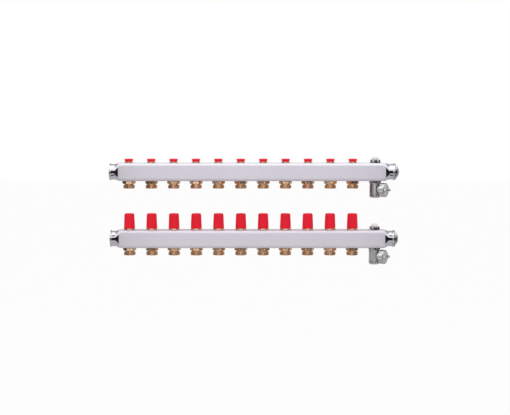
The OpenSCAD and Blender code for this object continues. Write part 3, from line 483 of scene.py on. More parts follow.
def drill_tree():
    """Geometry nodes: a row of round holes through a bar's wall."""
    tree, given, out = geometry_tree(
        "Holes Along Bar", ("Count", "Int"), ("Pitch", "Float"), ("First Place", "Vector"),
        ("Hole Radius", "Float"), ("Hole Depth", "Float"))
    drill = add(tree, "GeometryNodeMeshCylinder", Vertices=48, Radius=given["Hole Radius"],
                Depth=given["Hole Depth"])
    cut = add(tree, "GeometryNodeMeshBoolean", {"operation": "DIFFERENCE", "solver": "EXACT"})
    feed(cut, Mesh_1=given["Geometry"], Mesh_2=repeated(tree, given, Instance=drill))
    feed(out, Geometry=cut)
    return tree


def spring_tree():
    """Geometry nodes: a coil of round wire."""
    tree, given, out = geometry_tree(
        "Coil Spring", ("Coil Radius", "Float"), ("Wire Radius", "Float"), ("Turns", "Float"),
        ("Length", "Float"), ("Place", "Vector"), ("Finish", "Material"))
    coil = add(tree, "GeometryNodeCurveSpiral", Resolution=24, Rotations=given["Turns"],
               Start_Radius=given["Coil Radius"], End_Radius=given["Coil Radius"], Height=given["Length"])
    wire = add(tree, "GeometryNodeCurvePrimitiveCircle", Resolution=10, Radius=given["Wire Radius"])
    tube = add(tree, "GeometryNodeCurveToMesh", Curve=coil, Profile_Curve=wire, Fill_Caps=True)
    placed = add(tree, "GeometryNodeTransform", Geometry=tube, Translation=given["Place"])
    rounded = add(tree, "GeometryNodeSetShadeSmooth", Geometry=placed)
    return dressed(tree, given, out, add(tree, "GeometryNodeRealizeInstances", Geometry=rounded))


def tree_named(name, maker):
    """A node tree, made when it is first asked for."""
    return bpy.data.node_groups.get(name) or maker()


def grow(piece, label, name, maker, **values):
    """Hangs a node tree on a piece, with the tree's inputs set by name."""
    modifier = piece.modifiers.new(label, "NODES")
    modifier.node_group = tree_named(name, maker)
    for item in modifier.node_group.interface.items_tree:
        key = item.name.replace(" ", "_")
        if item.in_out == "INPUT" and key in values:
            modifier[item.identifier] = values[key]


def keep_result(piece):
    """Turns what a piece's node trees make into its own plain mesh."""
    graph = bpy.context.evaluated_depsgraph_get()
    made = bpy.data.meshes.new_from_object(piece.evaluated_get(graph))
    piece.modifiers.clear()
    piece.data = made
    return piece


def new_piece(name, mesh=None):
    """A new object in the scene, empty where no mesh is given."""
    piece = bpy.data.objects.new(name, mesh or bpy.data.meshes.new(name))
    bpy.context.scene.collection.objects.link(piece)
    return piece


def row_of(name, mesh, finish, place, count=1, most_turn=0.0, turn_step=0.0):
    """Repeats a fitting's mesh along a bar, from its first place in millimetres."""
    fitting = new_piece(name + "_pattern", mesh)
    piece = new_piece(name)
    grow(piece, "Row", "Row Along Bar", row_tree, Fitting=fitting, Count=count, Pitch=PITCH * MM,
         First_Place=[c * MM for c in place], Most_Turn=most_turn, Turn_Step=turn_step, Finish=finish)
    keep_result(piece)
    bpy.data.objects.remove(fitting)
    return piece


def stands_for(piece, body, node):
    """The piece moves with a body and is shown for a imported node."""
    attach(piece, body)
    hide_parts(node)


def fitted(name, mesh, slot, place, node, moves=False, count=1, **turns):
    """One fitting or a row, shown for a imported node: it moves with that node's body or stays on the bars."""
    piece = row_of(name, mesh, finish_of(slot), place, count, **turns)
    stands_for(piece, node if moves else "bars", node)


def gasket(name, outer, inner, place, node, lay=UPRIGHT, count=1):
    """A flat gasket or a row of them, by the radii of its rim and its hole."""
    ring = moved(turned("gasket", ring_of(outer, inner, GASKET)), lay)
    fitted(name, ring, "rubber", place, node, count=count)


def thread_of(sizes, pitch):
    """Pitch and depth of a thread, in millimetres."""
    return pitch / MM, sizes.thread_depth * (pitch / MM)


def top_of(bar, x, rise=0):
    """A place on a bar's top face, or a rise above it."""
    return (x, BAR_Y, BAR_Z[bar] + BAR_HALF + rise)


def under(bar, x):
    """A place on a bar's bottom face."""
    return (x, BAR_Y, BAR_Z[bar] - BAR_HALF)


# Finishes


def lathe_lines_group():
    """Shader group: rings left by a lathe tool, along the piece's own profile."""
    tree, given, out = new_tree(
        "Lathe Lines", "ShaderNodeTree", [("Lines Per Metre", "Float")], [("Lines", "Float")])
    mark = add(tree, "ShaderNodeAttribute", {"attribute_name": "turning"})
    along = maths(tree, "MULTIPLY", mark.outputs["Fac"], given["Lines Per Metre"])
    noise = add(tree, "ShaderNodeTexNoise", {"noise_dimensions": "1D"}, W=along, Scale=1.0, Detail=3.0)
    feed(out, Lines=noise)
    return tree


def brush_lines_group():
    """Shader group: fine lines left by brushing along X."""
    tree, given, out = new_tree(
        "Brush Lines", "ShaderNodeTree", [("Along", "Float"), ("Across", "Float")], [("Lines", "Float")])
    place = add(tree, "ShaderNodeTexCoord").outputs["Object"]
    scale = add(tree, "ShaderNodeCombineXYZ", X=given["Along"], Y=given["Across"], Z=given["Across"])
    stretch = add(tree, "ShaderNodeVectorMath", {"operation": "MULTIPLY"}, i0=place, i1=scale)
    feed(out, Lines=add(tree, "ShaderNodeTexNoise", Vector=stretch, Scale=1.0, Detail=4.0, Roughness=0.6))
    return tree


def mottle_group():
    """Shader group: broad soft patches, as handling leaves them, and a fine grain."""
    tree, given, out = new_tree(
        "Mottle And Grain", "ShaderNodeTree", [("Patch Scale", "Float"), ("Grain Scale", "Float")],
        [("Patches", "Float"), ("Grain", "Float")])
    place = add(tree, "ShaderNodeTexCoord").outputs["Object"]
    feed(out, Patches=add(tree, "ShaderNodeTexNoise", Vector=place, Scale=given["Patch Scale"], Detail=3.0),
         Grain=add(tree, "ShaderNodeTexNoise", Vector=place, Scale=given["Grain Scale"], Detail=2.0))
    return tree


def group_in(tree, name, maker, **inputs):
    """The outputs of a shader group that is used in a finish."""
    return add(tree, "ShaderNodeGroup", {"node_tree": tree_named(name, maker)}, **inputs).outputs


def shade(colour, factor):
    """A lighter or darker tone of a colour."""
    return (*(min(1.0, c * factor) for c in colour), 1.0)


def new_finish(name, metallic, specular=0.5):
    """A new material, with its tree and its shader."""
    finish = bpy.data.materials.new(name)
    finish.use_nodes = True
    shader = finish.node_tree.nodes["Principled BSDF"]
    return finish, finish.node_tree, feed(shader, Metallic=metallic, Specular_IOR_Level=specular)


def ranged(tree, value, low, high):
    """The middle of a noise spread between two values."""
    return add(tree, "ShaderNodeMapRange", Value=value, i1=0.3, i2=0.7, i3=low, i4=high)


def mixed(tree, factor, first, second):
    """A colour between two others."""
    return add(tree, "ShaderNodeMix", {"data_type": "RGBA"}, i0=factor, i6=first, i7=second).outputs[2]


def bump(tree, height, distance, strength):
    """A surface raised by a noise."""
    return add(tree, "ShaderNodeBump", Strength=strength, Distance=distance, Height=height)


def satin_steel(colour):
    """Brushed bars with bright polished necks beyond their square length."""
    finish, tree, shader = new_finish("Satin Steel", 0.5)
    lines = group_in(tree, "Brush Lines", brush_lines_group, Along=7.0, Across=1400.0)["Lines"]
    patches = group_in(tree, "Mottle And Grain", mottle_group, Patch_Scale=9.0, Grain_Scale=2600.0)["Patches"]
    place = add(tree, "ShaderNodeTexCoord").outputs["Object"]
    along = add(tree, "ShaderNodeSeparateXYZ", Vector=place).outputs["X"]
    polished = maths(tree, "GREATER_THAN", maths(tree, "ABSOLUTE", along), SQUARE_END * MM)
    tone = mixed(tree, lines, shade(colour, 0.95), shade(colour, 1.05))
    satin, bright = ranged(tree, lines, 0.46, 0.54), ranged(tree, patches, 0.05, 0.09)
    brushed = maths(tree, "MULTIPLY", lines, maths(tree, "SUBTRACT", 1.0, polished))
    feed(shader, Base_Color=mixed(tree, ranged(tree, patches, 0.0, 0.35), tone, shade(colour, 0.93)),
         Roughness=add(tree, "ShaderNodeMix", {"data_type": "FLOAT"}, i0=polished, i2=satin, i3=bright),
         Metallic=maths(tree, "MULTIPLY_ADD", polished, 0.5, 0.5), Normal=bump(tree, brushed, 0.00002, 0.5))
    return finish


def turned_metal(name, colour, dark, rough_low, rough_high, lines_per_metre, depth):
    """Brass, nickel or steel with the rings of a lathe tool and a little handling."""
    finish, tree, shader = new_finish(name, 1.0)
    lines = group_in(tree, "Lathe Lines", lathe_lines_group, Lines_Per_Metre=lines_per_metre)["Lines"]
    mottle = group_in(tree, "Mottle And Grain", mottle_group, Patch_Scale=60.0, Grain_Scale=3000.0)
    handled = ranged(tree, mottle["Patches"], 0.0, 1.0)
    tone = mixed(tree, handled, shade(colour, 1.0), shade(colour, dark))
    grain = maths(tree, "MULTIPLY_ADD", mottle["Grain"], 0.3, lines)
    feed(shader, Base_Color=mixed(tree, ranged(tree, lines, 0.0, 0.25), tone, shade(colour, dark)),
         Roughness=ranged(tree, lines, rough_low, rough_high), Normal=bump(tree, grain, depth, 0.6))
    return finish


def moulded(name, colour, rough_low, rough_high, depth, specular=0.5):
    """Moulded plastic or rubber with a fine skin and faint patches."""
    finish, tree, shader = new_finish(name, 0.0, specular)
    mottle = group_in(tree, "Mottle And Grain", mottle_group, Patch_Scale=45.0, Grain_Scale=1900.0)
    handled = ranged(tree, mottle["Patches"], 0.0, 1.0)
    feed(shader, Base_Color=mixed(tree, handled, shade(colour, 1.03), shade(colour, 0.93)),
         Roughness=ranged(tree, mottle["Grain"], rough_low, rough_high),
         Normal=bump(tree, mottle["Grain"], depth, 0.5))
    return finish


# Turned metals have a darkest tone, roughness from and to, lathe lines in a metre and their depth in metres;
# mouldings have roughness from and to, the depth of their grain in metres and their specular level
FINISH_MAKERS = {
    "stainless": lambda c: satin_steel(c.steel),
    "brass": lambda c: turned_metal("Turned Brass", c.brass, 0.86, 0.17, 0.27, 5200, 0.00001),
    "red_plastic": lambda c: moulded("Red Plastic", c.red, 0.40, 0.48, 0.00002, 0.2),
    "nickel": lambda c: turned_metal("Nickel Plate", c.nickel, 0.94, 0.12, 0.2, 3800, 0.000003),
    "white_plastic": lambda c: moulded("White Plastic", c.white, 0.32, 0.42, 0.00002),
    "rubber": lambda c: moulded("Rubber", c.rubber, 0.58, 0.72, 0.00003),
    "pin_steel": lambda c: turned_metal("Pin Steel", c.pin_steel, 0.9, 0.24, 0.34, 6000, 0.000005),
}
FINISHES = {}


def finish_of(slot):
    """The material of one of the record's slots, made when it is first asked for."""
    if slot not in FINISHES:
        FINISHES[slot] = FINISH_MAKERS[slot](bpy.context.scene.manifold_finishes)
    return FINISHES[slot]


def dress(piece, slot):
    """Gives a piece the finish of a slot, in place of what it had."""
    piece.data.materials.clear()
    piece.data.materials.append(finish_of(slot))


# Pieces


def square_ring(half, corner, arc=8):
    """(y, z) points round a square with rounded corners; a corner as large as the half is a circle."""
    points = []
    flat = half - corner
    for q in range(4):
        sy, sz = ((1, 1), (-1, 1), (-1, -1), (1, -1))[q]
        for s in range(arc + 1):
            angle = TURN / 4 * (q + s / arc)
            points.append((sy * flat + corner * math.cos(angle), sz * flat + corner * math.sin(angle)))
        end = points[-1]
        along = (-2 * flat * math.sin(TURN / 4 * (q + 1)), 2 * flat * math.cos(TURN / 4 * (q + 1)))
        for share in (0.02, 0.5, 0.98):
            points.append((end[0] + share * along[0], end[1] + share * along[1]))
    return np.array(points)


def bar_end_rings():
    """Outer rings of a bar's end, from its straight length to its mouth: (x, half width, corner radius)."""
    rings = []
    for share in np.linspace(0, 1, 7):
        ease = share ** 1.6
        rings.append((SQUARE_END - DRAW_LEN * (1 - share), BAR_HALF - (BAR_HALF - DRAWN_HALF) * ease,
                      BAR_CORNER + (DRAWN_CORNER - BAR_CORNER) * ease))
    shoulder = SQUARE_END + SHOULDER_LEN
    for share in (0.25, 0.5, 0.75):
        rings.append((SQUARE_END + SHOULDER_LEN * share, DRAWN_HALF + (NECK_R - DRAWN_HALF) * share,
                      DRAWN_CORNER + (NECK_R - DRAWN_CORNER) * share))
    rings.append((shoulder, NECK_R, NECK_R))
    lip = MOUTH - LIP_LEN
    for x, r in soften([(shoulder + 0.5, NECK_R), (lip, NECK_R), (lip + LIP_H, LIP_R), (MOUTH, LIP_R),
                        (MOUTH, BORE_R + MOUTH_CHAMFER)], 0.5):
        rings.append((x, r, r))
    return rings


def bore_rings(pitch, depth):
    """Inner rings of a bar's end, from its mouth to its straight length, as points round the bore."""
    circle = square_ring(1, 1)
    angles = np.arctan2(circle[:, 1], circle[:, 0])
    rings = []
    start, end = MOUTH - MOUTH_CHAMFER, SQUARE_END
    lines = [thread_line(BORE_R, pitch, depth, start, end, a, chamfer=1.2, inside=True) for a in angles]
    for k in range(len(lines[0])):
        radii = np.array([line[k][0] for line in lines])
        rings.append((lines[0][k][1], circle * radii[:, None]))
    rings.append((SQUARE_END - DRAW_LEN, square_ring(BAR_HALF - BAR_WALL, BAR_CORNER - BAR_WALL)))
    return rings


def bar_mesh(name, z, sizes):
    """One bar as a closed shell: square tube, drawn shoulders, round necks and threaded bores."""
    right = [(x, square_ring(h, c)) for x, h, c in bar_end_rings()]
    right += bore_rings(*thread_of(sizes, sizes.inlet_pitch))
    rings = right + [(-x, ring) for x, ring in reversed(right)]
    rows = [[(x, BAR_Y + p[0], z + p[1]) for p in ring] for x, ring in rings]
    return grid_mesh(name, rows, np.zeros(len(rows[0])), True)


class MANIFOLD_OT_bars(bpy.types.Operator):
    """Makes the two square bars, with their necks, bores and holes."""

    bl_idname = "manifold.bars"
    bl_label = "Bars"

    def execute(self, context):
        sizes = context.scene.manifold_sizes
        insert_r = {"upper": BALANCE_SHANK_R, "lower": VALVE_SHANK_R}
        for bar, z in BAR_Z.items():
            piece = new_piece(bar + "_bar_tube", bar_mesh(bar + "_bar_tube", z, sizes))
            for label, place, count, radius in (
                    ("Insert Holes", top_of(bar, FIRST_X), CIRCUITS, insert_r[bar]),
                    ("Outlet Holes", under(bar, FIRST_X), CIRCUITS, SPIGOT_R),
                    ("Vent Hole", top_of(bar, SERVICE_X), 1, VENT_SHANK_R),
                    ("Drain Hole", under(bar, SERVICE_X), 1, DRAIN_SHANK_R)):
                grow(piece, label, "Holes Along Bar", drill_tree, Count=count, Pitch=PITCH * MM,
                     First_Place=[c * MM for c in place], Hole_Radius=(radius + HOLE_ROOM) * MM,
                     Hole_Depth=HOLE_DEPTH * MM)
            keep_result(piece)
            dress(piece, "stainless")
            smooth(piece.data, BAR_SHARP_ANGLE)
            stands_for(piece, "bars", bar + "_bar")
        return {"FINISHED"}


def end_plug_profile(angle):
    """End plug: a shank in the neck, a round flange and a domed hexagon head."""
    side = hex_radius(PLUG_AF, angle)
    centre = PLUG_HEAD_END - PLUG_DOME_R
    dome = [(r, centre + math.sqrt(PLUG_DOME_R ** 2 - r ** 2)) for r in np.linspace(side, 0, 10)]
    flange = soften([(PLUG_SHANK_R, GASKET), (PLUG_FLANGE_R, GASKET), (PLUG_FLANGE_R, PLUG_FLANGE_END),
                     (side + 0.4, PLUG_FLANGE_END)], 0.4)
    return [(0, -PLUG_SHANK_LEN), *shank(PLUG_SHANK_R, PLUG_SHANK_LEN, 0.8), *flange[1:],
            (side, PLUG_FLANGE_END + 0.3), *dome]


class MANIFOLD_OT_end_plugs(bpy.types.Operator):
    """Makes the plugs in the bars' right ends, with their gaskets."""

    bl_idname = "manifold.end_plugs"
    bl_label = "End Plugs"

    def execute(self, context):
        for bar, z in BAR_Z.items():
            place = (MOUTH, BAR_Y, z)
            head = moved(turned("plug", end_plug_profile, 72, False), OUTWARDS)
            fitted(bar + "_end_plug", head, "nickel", place, "end_plugs")
            gasket(bar + "_plug_gasket", PLUG_FLANGE_R, BORE_R + MOUTH_CHAMFER, place, "plug_gaskets",
                   OUTWARDS)
        return {"FINISHED"}


def outlet_profile(sizes, inside):
    """Outlet nipple: hexagon collar, hollow waist, thread and cone mouth; inside is its part in the bar."""
    pitch, depth = thread_of(sizes, sizes.outlet_pitch)

    def profile_at(angle):
        collar = hex_corners(OUTLET_AF, -GASKET, -OUTLET_COLLAR, angle)
        waist = soften([collar[-1], (OUTLET_GROOVE_R + 0.6, -OUTLET_COLLAR),
                        (OUTLET_GROOVE_R, -OUTLET_COLLAR - 1), (OUTLET_GROOVE_R, -OUTLET_GROOVE + 0.9),
                        (OUTLET_THREAD_R - 1.6, -OUTLET_GROOVE)], 1.2)[1:]
        thread = thread_line(OUTLET_THREAD_R, pitch, depth, -OUTLET_GROOVE, -OUTLET_END, angle, chamfer=0.9)
        mouth = soften([(OUTLET_THREAD_R - 1, -OUTLET_END), (OUTLET_CONE_R, -OUTLET_END),
                        (OUTLET_BORE_R, -OUTLET_CONE_END), (OUTLET_BORE_R, -OUTLET_BORE_TOP)], 0.2, 2)[1:]
        return [*collar, *waist, *thread, *mouth, *inside]

    return profile_at


LOWER_INSIDE = [
    (WATERWAY_R, -OUTLET_BORE_TOP), (WATERWAY_R, SEAT_TOP - 0.4), (WATERWAY_R + 0.4, SEAT_TOP),
    (SEAT_R - 0.4, SEAT_TOP), (SEAT_R, SEAT_TOP - 0.4), (SEAT_R, SPIGOT_TOP), (SPIGOT_R, SPIGOT_TOP),
    (SPIGOT_R, -GASKET)]
UPPER_INSIDE = [
    (0, -OUTLET_BORE_TOP), (0, PORT_FLOOR_TOP), (STEM_BORE_R, PORT_FLOOR_TOP), (STEM_BORE_R, HOUSING_TOP),
    (HOUSING_R, HOUSING_TOP), (HOUSING_R, COLLAR_TOP), (SPIGOT_R, COLLAR_TOP), (SPIGOT_R, -GASKET)]


def throttle_cuts():
    """The window and the ports of an upper outlet's throttle, as one cutter."""
    height = WINDOW_HIGH - WINDOW_LOW
    cuts = bmesh.new()
    cuts.from_mesh(block((2 * HOUSING_R, height, height), (HOUSING_R, 0, WINDOW_LOW + height / 2)))
    for k in range(PORT_COUNT):
        angle = TURN * (k + 0.5) / PORT_COUNT
        place = Vector((PORT_CIRCLE_R * math.cos(angle), PORT_CIRCLE_R * math.sin(angle), 0)) * MM
        port = rod(OUTLET_PORT_R, -OUTLET_BORE_TOP - 1, PORT_FLOOR_TOP + 1, 24)
        cuts.from_mesh(moved(port, Matrix.Translation(place)))
    mesh = bpy.data.meshes.new("throttle_cuts")
    cuts.to_mesh(mesh)
    cuts.free()
    return mesh


class MANIFOLD_OT_outlets(bpy.types.Operator):
    """Makes the brass outlets under both bars, with their gaskets."""

    bl_idname = "manifold.outlets"
    bl_label = "Outlets"

    def execute(self, context):
        sizes = context.scene.manifold_sizes
        for bar, inside in (("upper", UPPER_INSIDE), ("lower", LOWER_INSIDE)):
            place = under(bar, FIRST_X)
            nipple = turned("outlet", outlet_profile(sizes, inside), 78)
            if bar == "upper":
                nipple = combine(nipple, throttle_cuts(), "DIFFERENCE")
            fitted(bar + "_outlet_row", nipple, "brass", place, bar + "_outlets", count=CIRCUITS,
                   most_turn=sizes.collar_turn, turn_step=sizes.collar_step)
            gasket(bar + "_outlet_gasket_row", OUTLET_AF / 2, SPIGOT_R + HOLE_ROOM, place, "outlet_gaskets",
                   HANGING, CIRCUITS)
        return {"FINISHED"}


def valve_insert_profile(sizes):
    """Valve insert: a shank in the bar, a hexagon collar, a threaded neck and the spring's chamber."""
    pitch, depth = thread_of(sizes, sizes.neck_pitch)

    def profile_at(angle):
        collar = hex_corners(VALVE_AF, GASKET, VALVE_HEX_TOP, angle)
        thread = thread_line(VALVE_NECK_R, pitch, depth, VALVE_HEX_TOP + 0.2, VALVE_NECK_TOP, angle,
                             chamfer=0.7)
        return [(PIN_BORE_R, -VALVE_SHANK_LEN), *shank(VALVE_SHANK_R, VALVE_SHANK_LEN, 0.6), *collar, *thread,
                (CHAMBER_R + 0.4, VALVE_NECK_TOP), (CHAMBER_R, VALVE_NECK_TOP - 0.4),
                (CHAMBER_R, CHAMBER_FLOOR), (PIN_BORE_R, CHAMBER_FLOOR)]

    return profile_at


class MANIFOLD_OT_lower_valves(bpy.types.Operator):
    """Makes the brass inserts of the lower bar's valves, their gaskets and return springs."""

    bl_idname = "manifold.lower_valves"
    bl_label = "Lower Valves"

    def execute(self, context):
        sizes = context.scene.manifold_sizes
        place = top_of("lower", FIRST_X)
        insert = turned("insert", valve_insert_profile(sizes), 72)
        fitted("valve_insert_row", insert, "brass", place, "valve_inserts", count=CIRCUITS)
        gasket("valve_gasket_row", VALVE_AF / 2, VALVE_SHANK_R + HOLE_ROOM, place, "insert_gaskets",
               count=CIRCUITS)
        floor = BAR_Z["lower"] + BAR_HALF + CHAMBER_FLOOR
        length = SPRING_TOP - CHAMBER_FLOOR
        for k, number in enumerate(PLACES):
            piece = new_piece("return_spring_" + number)
            x, y = (FIRST_X + k * PITCH) * MM, BAR_Y * MM
            grow(piece, "Coil", "Coil Spring", spring_tree, Coil_Radius=(SPRING_R - SPRING_WIRE_R) * MM,
                 Wire_Radius=SPRING_WIRE_R * MM, Turns=sizes.spring_turns,
                 Length=(length - 2 * SPRING_WIRE_R) * MM, Place=[x, y, (floor + SPRING_WIRE_R) * MM],
                 Finish=finish_of("pin_steel"))
            keep_result(piece)
            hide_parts("return_springs")
            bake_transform(piece)
        return {"FINISHED"}


def hand_cap_profile(sizes):
    """Hand cap: a boss for the pin, a bore for the neck, a band, fading flutes and a dished crown."""
    depth = sizes.cap_flute_depth / MM
    edge = sizes.edge / MM
    count = sizes.cap_flutes

    def profile_at(angle):
        outside = []
        for z in CAP_LEVELS:
            radius = CAP_FOOT_R + (CAP_TOP_R - CAP_FOOT_R) * z / CAP_H
            fade = unit((z - CAP_FLUTE_FOOT) / 2) * unit((CAP_FLUTE_TOP - z) / 3)
            groove = flute(angle + TURN / count / 2, count, radius, depth, CAP_FLUTE_R) * fade
            outside.append((radius - max(CAP_BAND if z in CAP_BAND_Z else 0, groove), z))
        crown = [(CAP_TOP_R - 0.08, CAP_H - CAP_SHOULDER),
                 *quarter(CAP_TOP_R - CAP_SHOULDER, CAP_H - CAP_ROUND, CAP_ROUND, 6),
                 *((radius, CAP_H - sink) for radius, sink in CAP_DISH)]
        inside = soften([(0, CAP_BOSS_Z), (CAP_BOSS_R, CAP_BOSS_Z), (CAP_BOSS_R, CAP_ROOF),
                         (CAP_HOLLOW_R, CAP_ROOF), (CAP_HOLLOW_R, CAP_BOSS_Z), (CAP_BORE_R, CAP_BOSS_Z),
                         (CAP_BORE_R, 0), (CAP_FOOT_R - 0.2, 0)], edge, 2)
        return [*inside, *outside, *crown]

    return profile_at


class MANIFOLD_OT_hand_caps(bpy.types.Operator):
    """Makes the tall red hand caps, each on its own body."""

    bl_idname = "manifold.hand_caps"
    bl_label = "Hand Caps"

    def execute(self, context):
        sizes = context.scene.manifold_sizes
        shell = turned("hand_cap", hand_cap_profile(sizes), 12 * sizes.cap_flutes, False)
        for k, number in enumerate(PLACES):
            place = top_of("lower", FIRST_X + k * PITCH, CAP_FOOT)
            fitted("hand_cap_shell_" + number, shell, "red_plastic", place, "hand_cap_" + number, moves=True)
        return {"FINISHED"}


def balancing_insert_profile(angle):
    """Balancing insert: a shank in the bar, a hexagon collar and a plain neck round the stem's bore."""
    collar = hex_corners(BALANCE_AF, GASKET, BALANCE_HEX_TOP, angle)
    neck = soften([(BALANCE_NECK_R, BALANCE_HEX_TOP), (BALANCE_NECK_R, BALANCE_NECK_TOP),
                   (STEM_BORE_R, BALANCE_NECK_TOP), (STEM_BORE_R, -BALANCE_SHANK_LEN)], 0.3)
    return [*shank(BALANCE_SHANK_R, BALANCE_SHANK_LEN, 0.5), *collar, *neck]


def groove_line(radius, middle_z, half, depth):
    """A square groove across a straight profile; a half below zero runs the profile downwards."""
    return [(radius, middle_z - half), (radius - depth, middle_z - half),
            (radius - depth, middle_z + half), (radius, middle_z + half)]


def spindle_profile(sizes):
    """Balancing spindle: a half-round throttle, a stem with grooves for ring and seal, and a fluted head."""
    def profile_at(angle):
        def stem(radius, z):
            cut = z <= STEM_CUT and math.cos(angle) > 1e-6
            return (0.0 if cut else radius, z)

        stem_line = [(0, STEM_FOOT), stem(STEM_R - 0.4, STEM_FOOT), stem(STEM_R, STEM_FOOT + 0.4),
                     stem(STEM_R, STEM_CUT), (STEM_R, STEM_CUT + 0.001),
                     *groove_line(STEM_R, STEM_CLIP, CLIP_HALF, CLIP_GROOVE),
                     *groove_line(STEM_R, STEM_SEAL, SEAL_GROOVE / 2 + SEAL_ROOM, SEAL_GROOVE)]
        head = [(STEM_R, HEAD_FOOT), (HEAD_FOOT_R - 0.4, HEAD_FOOT), (HEAD_FOOT_R, HEAD_FOOT + 0.3)]
        for rise, radius in ((HEAD_TAPER - 0.25, HEAD_R - 0.15), (HEAD_TAPER, HEAD_R), (HEAD_H - 1.6, HEAD_R),
                             (HEAD_H - 1.1, HEAD_R - 0.42), (HEAD_H - 0.4, HEAD_R - 1.12),
                             (HEAD_H - 0.06, HEAD_R - 1.7)):
            cut = flute(angle, sizes.head_flutes, radius, HEAD_FLUTE_DEPTH, HEAD_FLUTE_R)
            head.append((radius - cut, HEAD_FOOT + rise))
        top = HEAD_FOOT + HEAD_H
        floor = top - HEAD_SOCKET_H
        side = hex_radius(HEAD_SOCKET_AF, angle)
        head += [(HEAD_R - 2.7, top), (side + 0.35, top), (side, top - 0.3), (side, floor), (0, floor)]
        return [*stem_line, *head]

    return profile_at


class MANIFOLD_OT_balancing_valves(bpy.types.Operator):
    """Makes the upper bar's brass inserts, their gaskets and the red balancing spindles."""

    bl_idname = "manifold.balancing_valves"
    bl_label = "Balancing Valves"

    def execute(self, context):
        sizes = context.scene.manifold_sizes
        place = top_of("upper", FIRST_X)
        insert = turned("insert", balancing_insert_profile, 72)
        fitted("balancing_insert_row", insert, "brass", place, "balancing_inserts", count=CIRCUITS)
        gasket("balancing_gasket_row", BALANCE_AF / 2, BALANCE_SHANK_R + HOLE_ROOM, place, "insert_gaskets",
               count=CIRCUITS)
        spindle = turned("spindle", spindle_profile(sizes), 12 * sizes.head_flutes, False)
        for k, number in enumerate(PLACES):
            place = top_of("upper", FIRST_X + k * PITCH)
            fitted("balancing_stem_" + number, spindle, "red_plastic", place, "balancing_spindle_" + number,
                   moves=True)
        return {"FINISHED"}


def vent_body_profile(angle):
    """Vent body: a shank in the bar, a tall hexagon, the needle's bore and its seat."""
    collar = hex_corners(VENT_AF, GASKET, VENT_TOP, angle + TURN / 12)
    return [(VENT_HOLE_R, -VENT_SHANK_LEN), *shank(VENT_SHANK_R, VENT_SHANK_LEN, 0.7), *collar,
            (NEEDLE_BORE_R + 0.4, VENT_TOP), (NEEDLE_BORE_R, VENT_TOP - 0.4),
            (NEEDLE_BORE_R, VENT_SEAT), (VENT_HOLE_R, VENT_SEAT)]


def vent_knob_profile(angle):
    """Vent knob: a socket for the needle, a ribbed rim and a rounded top."""
    rib = VENT_RIB_H * (0.5 + 0.5 * math.cos(VENT_RIBS * angle))
    rim = VENT_KNOB_R - VENT_RIB_H + rib
    return [(0, VENT_SOCKET_H), (VENT_SOCKET_R, VENT_SOCKET_H), (VENT_SOCKET_R, 0.3),
            (VENT_SOCKET_R + 0.3, 0), (VENT_KNOB_R - 0.8, 0), (VENT_KNOB_R - 0.3, 0.4), (rim, 0.9),
            (rim, VENT_KNOB_H - 1.5), (VENT_KNOB_R - 0.45, VENT_KNOB_H - 0.9),
            (VENT_KNOB_R - 0.8, VENT_KNOB_H - 0.35), (VENT_KNOB_R - 1.4, VENT_KNOB_H),
            (VENT_KNOB_R / 2, VENT_KNOB_H), (0, VENT_KNOB_H)]


class MANIFOLD_OT_air_vents(bpy.types.Operator):
    """Makes the air vents' hexagon bodies, gaskets and white knobs."""

    bl_idname = "manifold.air_vents"
    bl_label = "Air Vents"

    def execute(self, context):
        for bar in BAR_Z:
            place = top_of(bar, SERVICE_X)
            fitted(bar + "_vent_hexagon", turned("vent", vent_body_profile), "nickel", place, "vent_bodies")
            gasket(bar + "_vent_gasket", VENT_AF / 2, VENT_SHANK_R + HOLE_ROOM, place, "fitting_gaskets")
            slot = block((3 * VENT_KNOB_R, VENT_SLOT, 2 * VENT_SLOT), (0, 0, VENT_KNOB_H))
            knob = combine(turned("knob", vent_knob_profile, 144, False), slot, "DIFFERENCE")
            place = top_of(bar, SERVICE_X, VENT_KNOB_FOOT)
            fitted(bar + "_vent_cap", knob, "white_plastic", place, bar + "_vent_knob", moves=True)
        return {"FINISHED"}


def drain_body_mesh(sizes):
    """Drain valve body: hexagon, upright barrel and a threaded branch to the front right, bored through."""
    pitch, depth = thread_of(sizes, sizes.outlet_pitch)

    def barrel(angle):
        collar = hex_corners(DRAIN_AF, -GASKET, -DRAIN_HEX_END, angle + TURN / 12)
        skin = soften([collar[-1], (DRAIN_BODY_R, -DRAIN_HEX_END), (DRAIN_BODY_R, -DRAIN_BODY_END),
                       (0, -DRAIN_BODY_END)], 0.5)
        return [(0, DRAIN_SHANK_LEN), (DRAIN_SHANK_R - 0.6, DRAIN_SHANK_LEN),
                (DRAIN_SHANK_R, DRAIN_SHANK_LEN - 0.6), (DRAIN_SHANK_R, -GASKET), *collar[:-1], *skin]

    def branch(angle):
        thread = thread_line(HOSE_THREAD_R, pitch, depth, BRANCH_REACH, HOSE_END, angle)
        return [(0, 0), (BRANCH_R, 0), (BRANCH_R, BRANCH_REACH - 0.8), (BRANCH_R + 0.8, BRANCH_REACH),
                *thread, (0, HOSE_END)]

    body = turned("barrel", barrel, 96, False)
    body = combine(body, moved(turned("branch", branch, 72, False), BRANCH), "UNION")
    for cutter in (rod(WATERWAY_R, -DRAIN_BORE_TOP - 0.5, DRAIN_SHANK_LEN + 1),
                   rod(DRAIN_BORE_R, -DRAIN_BODY_END - 1, -DRAIN_BORE_TOP),
                   moved(rod(PORT_R, 0, HOSE_END + 1), BRANCH)):
        body = combine(body, cutter, "DIFFERENCE")
    return body


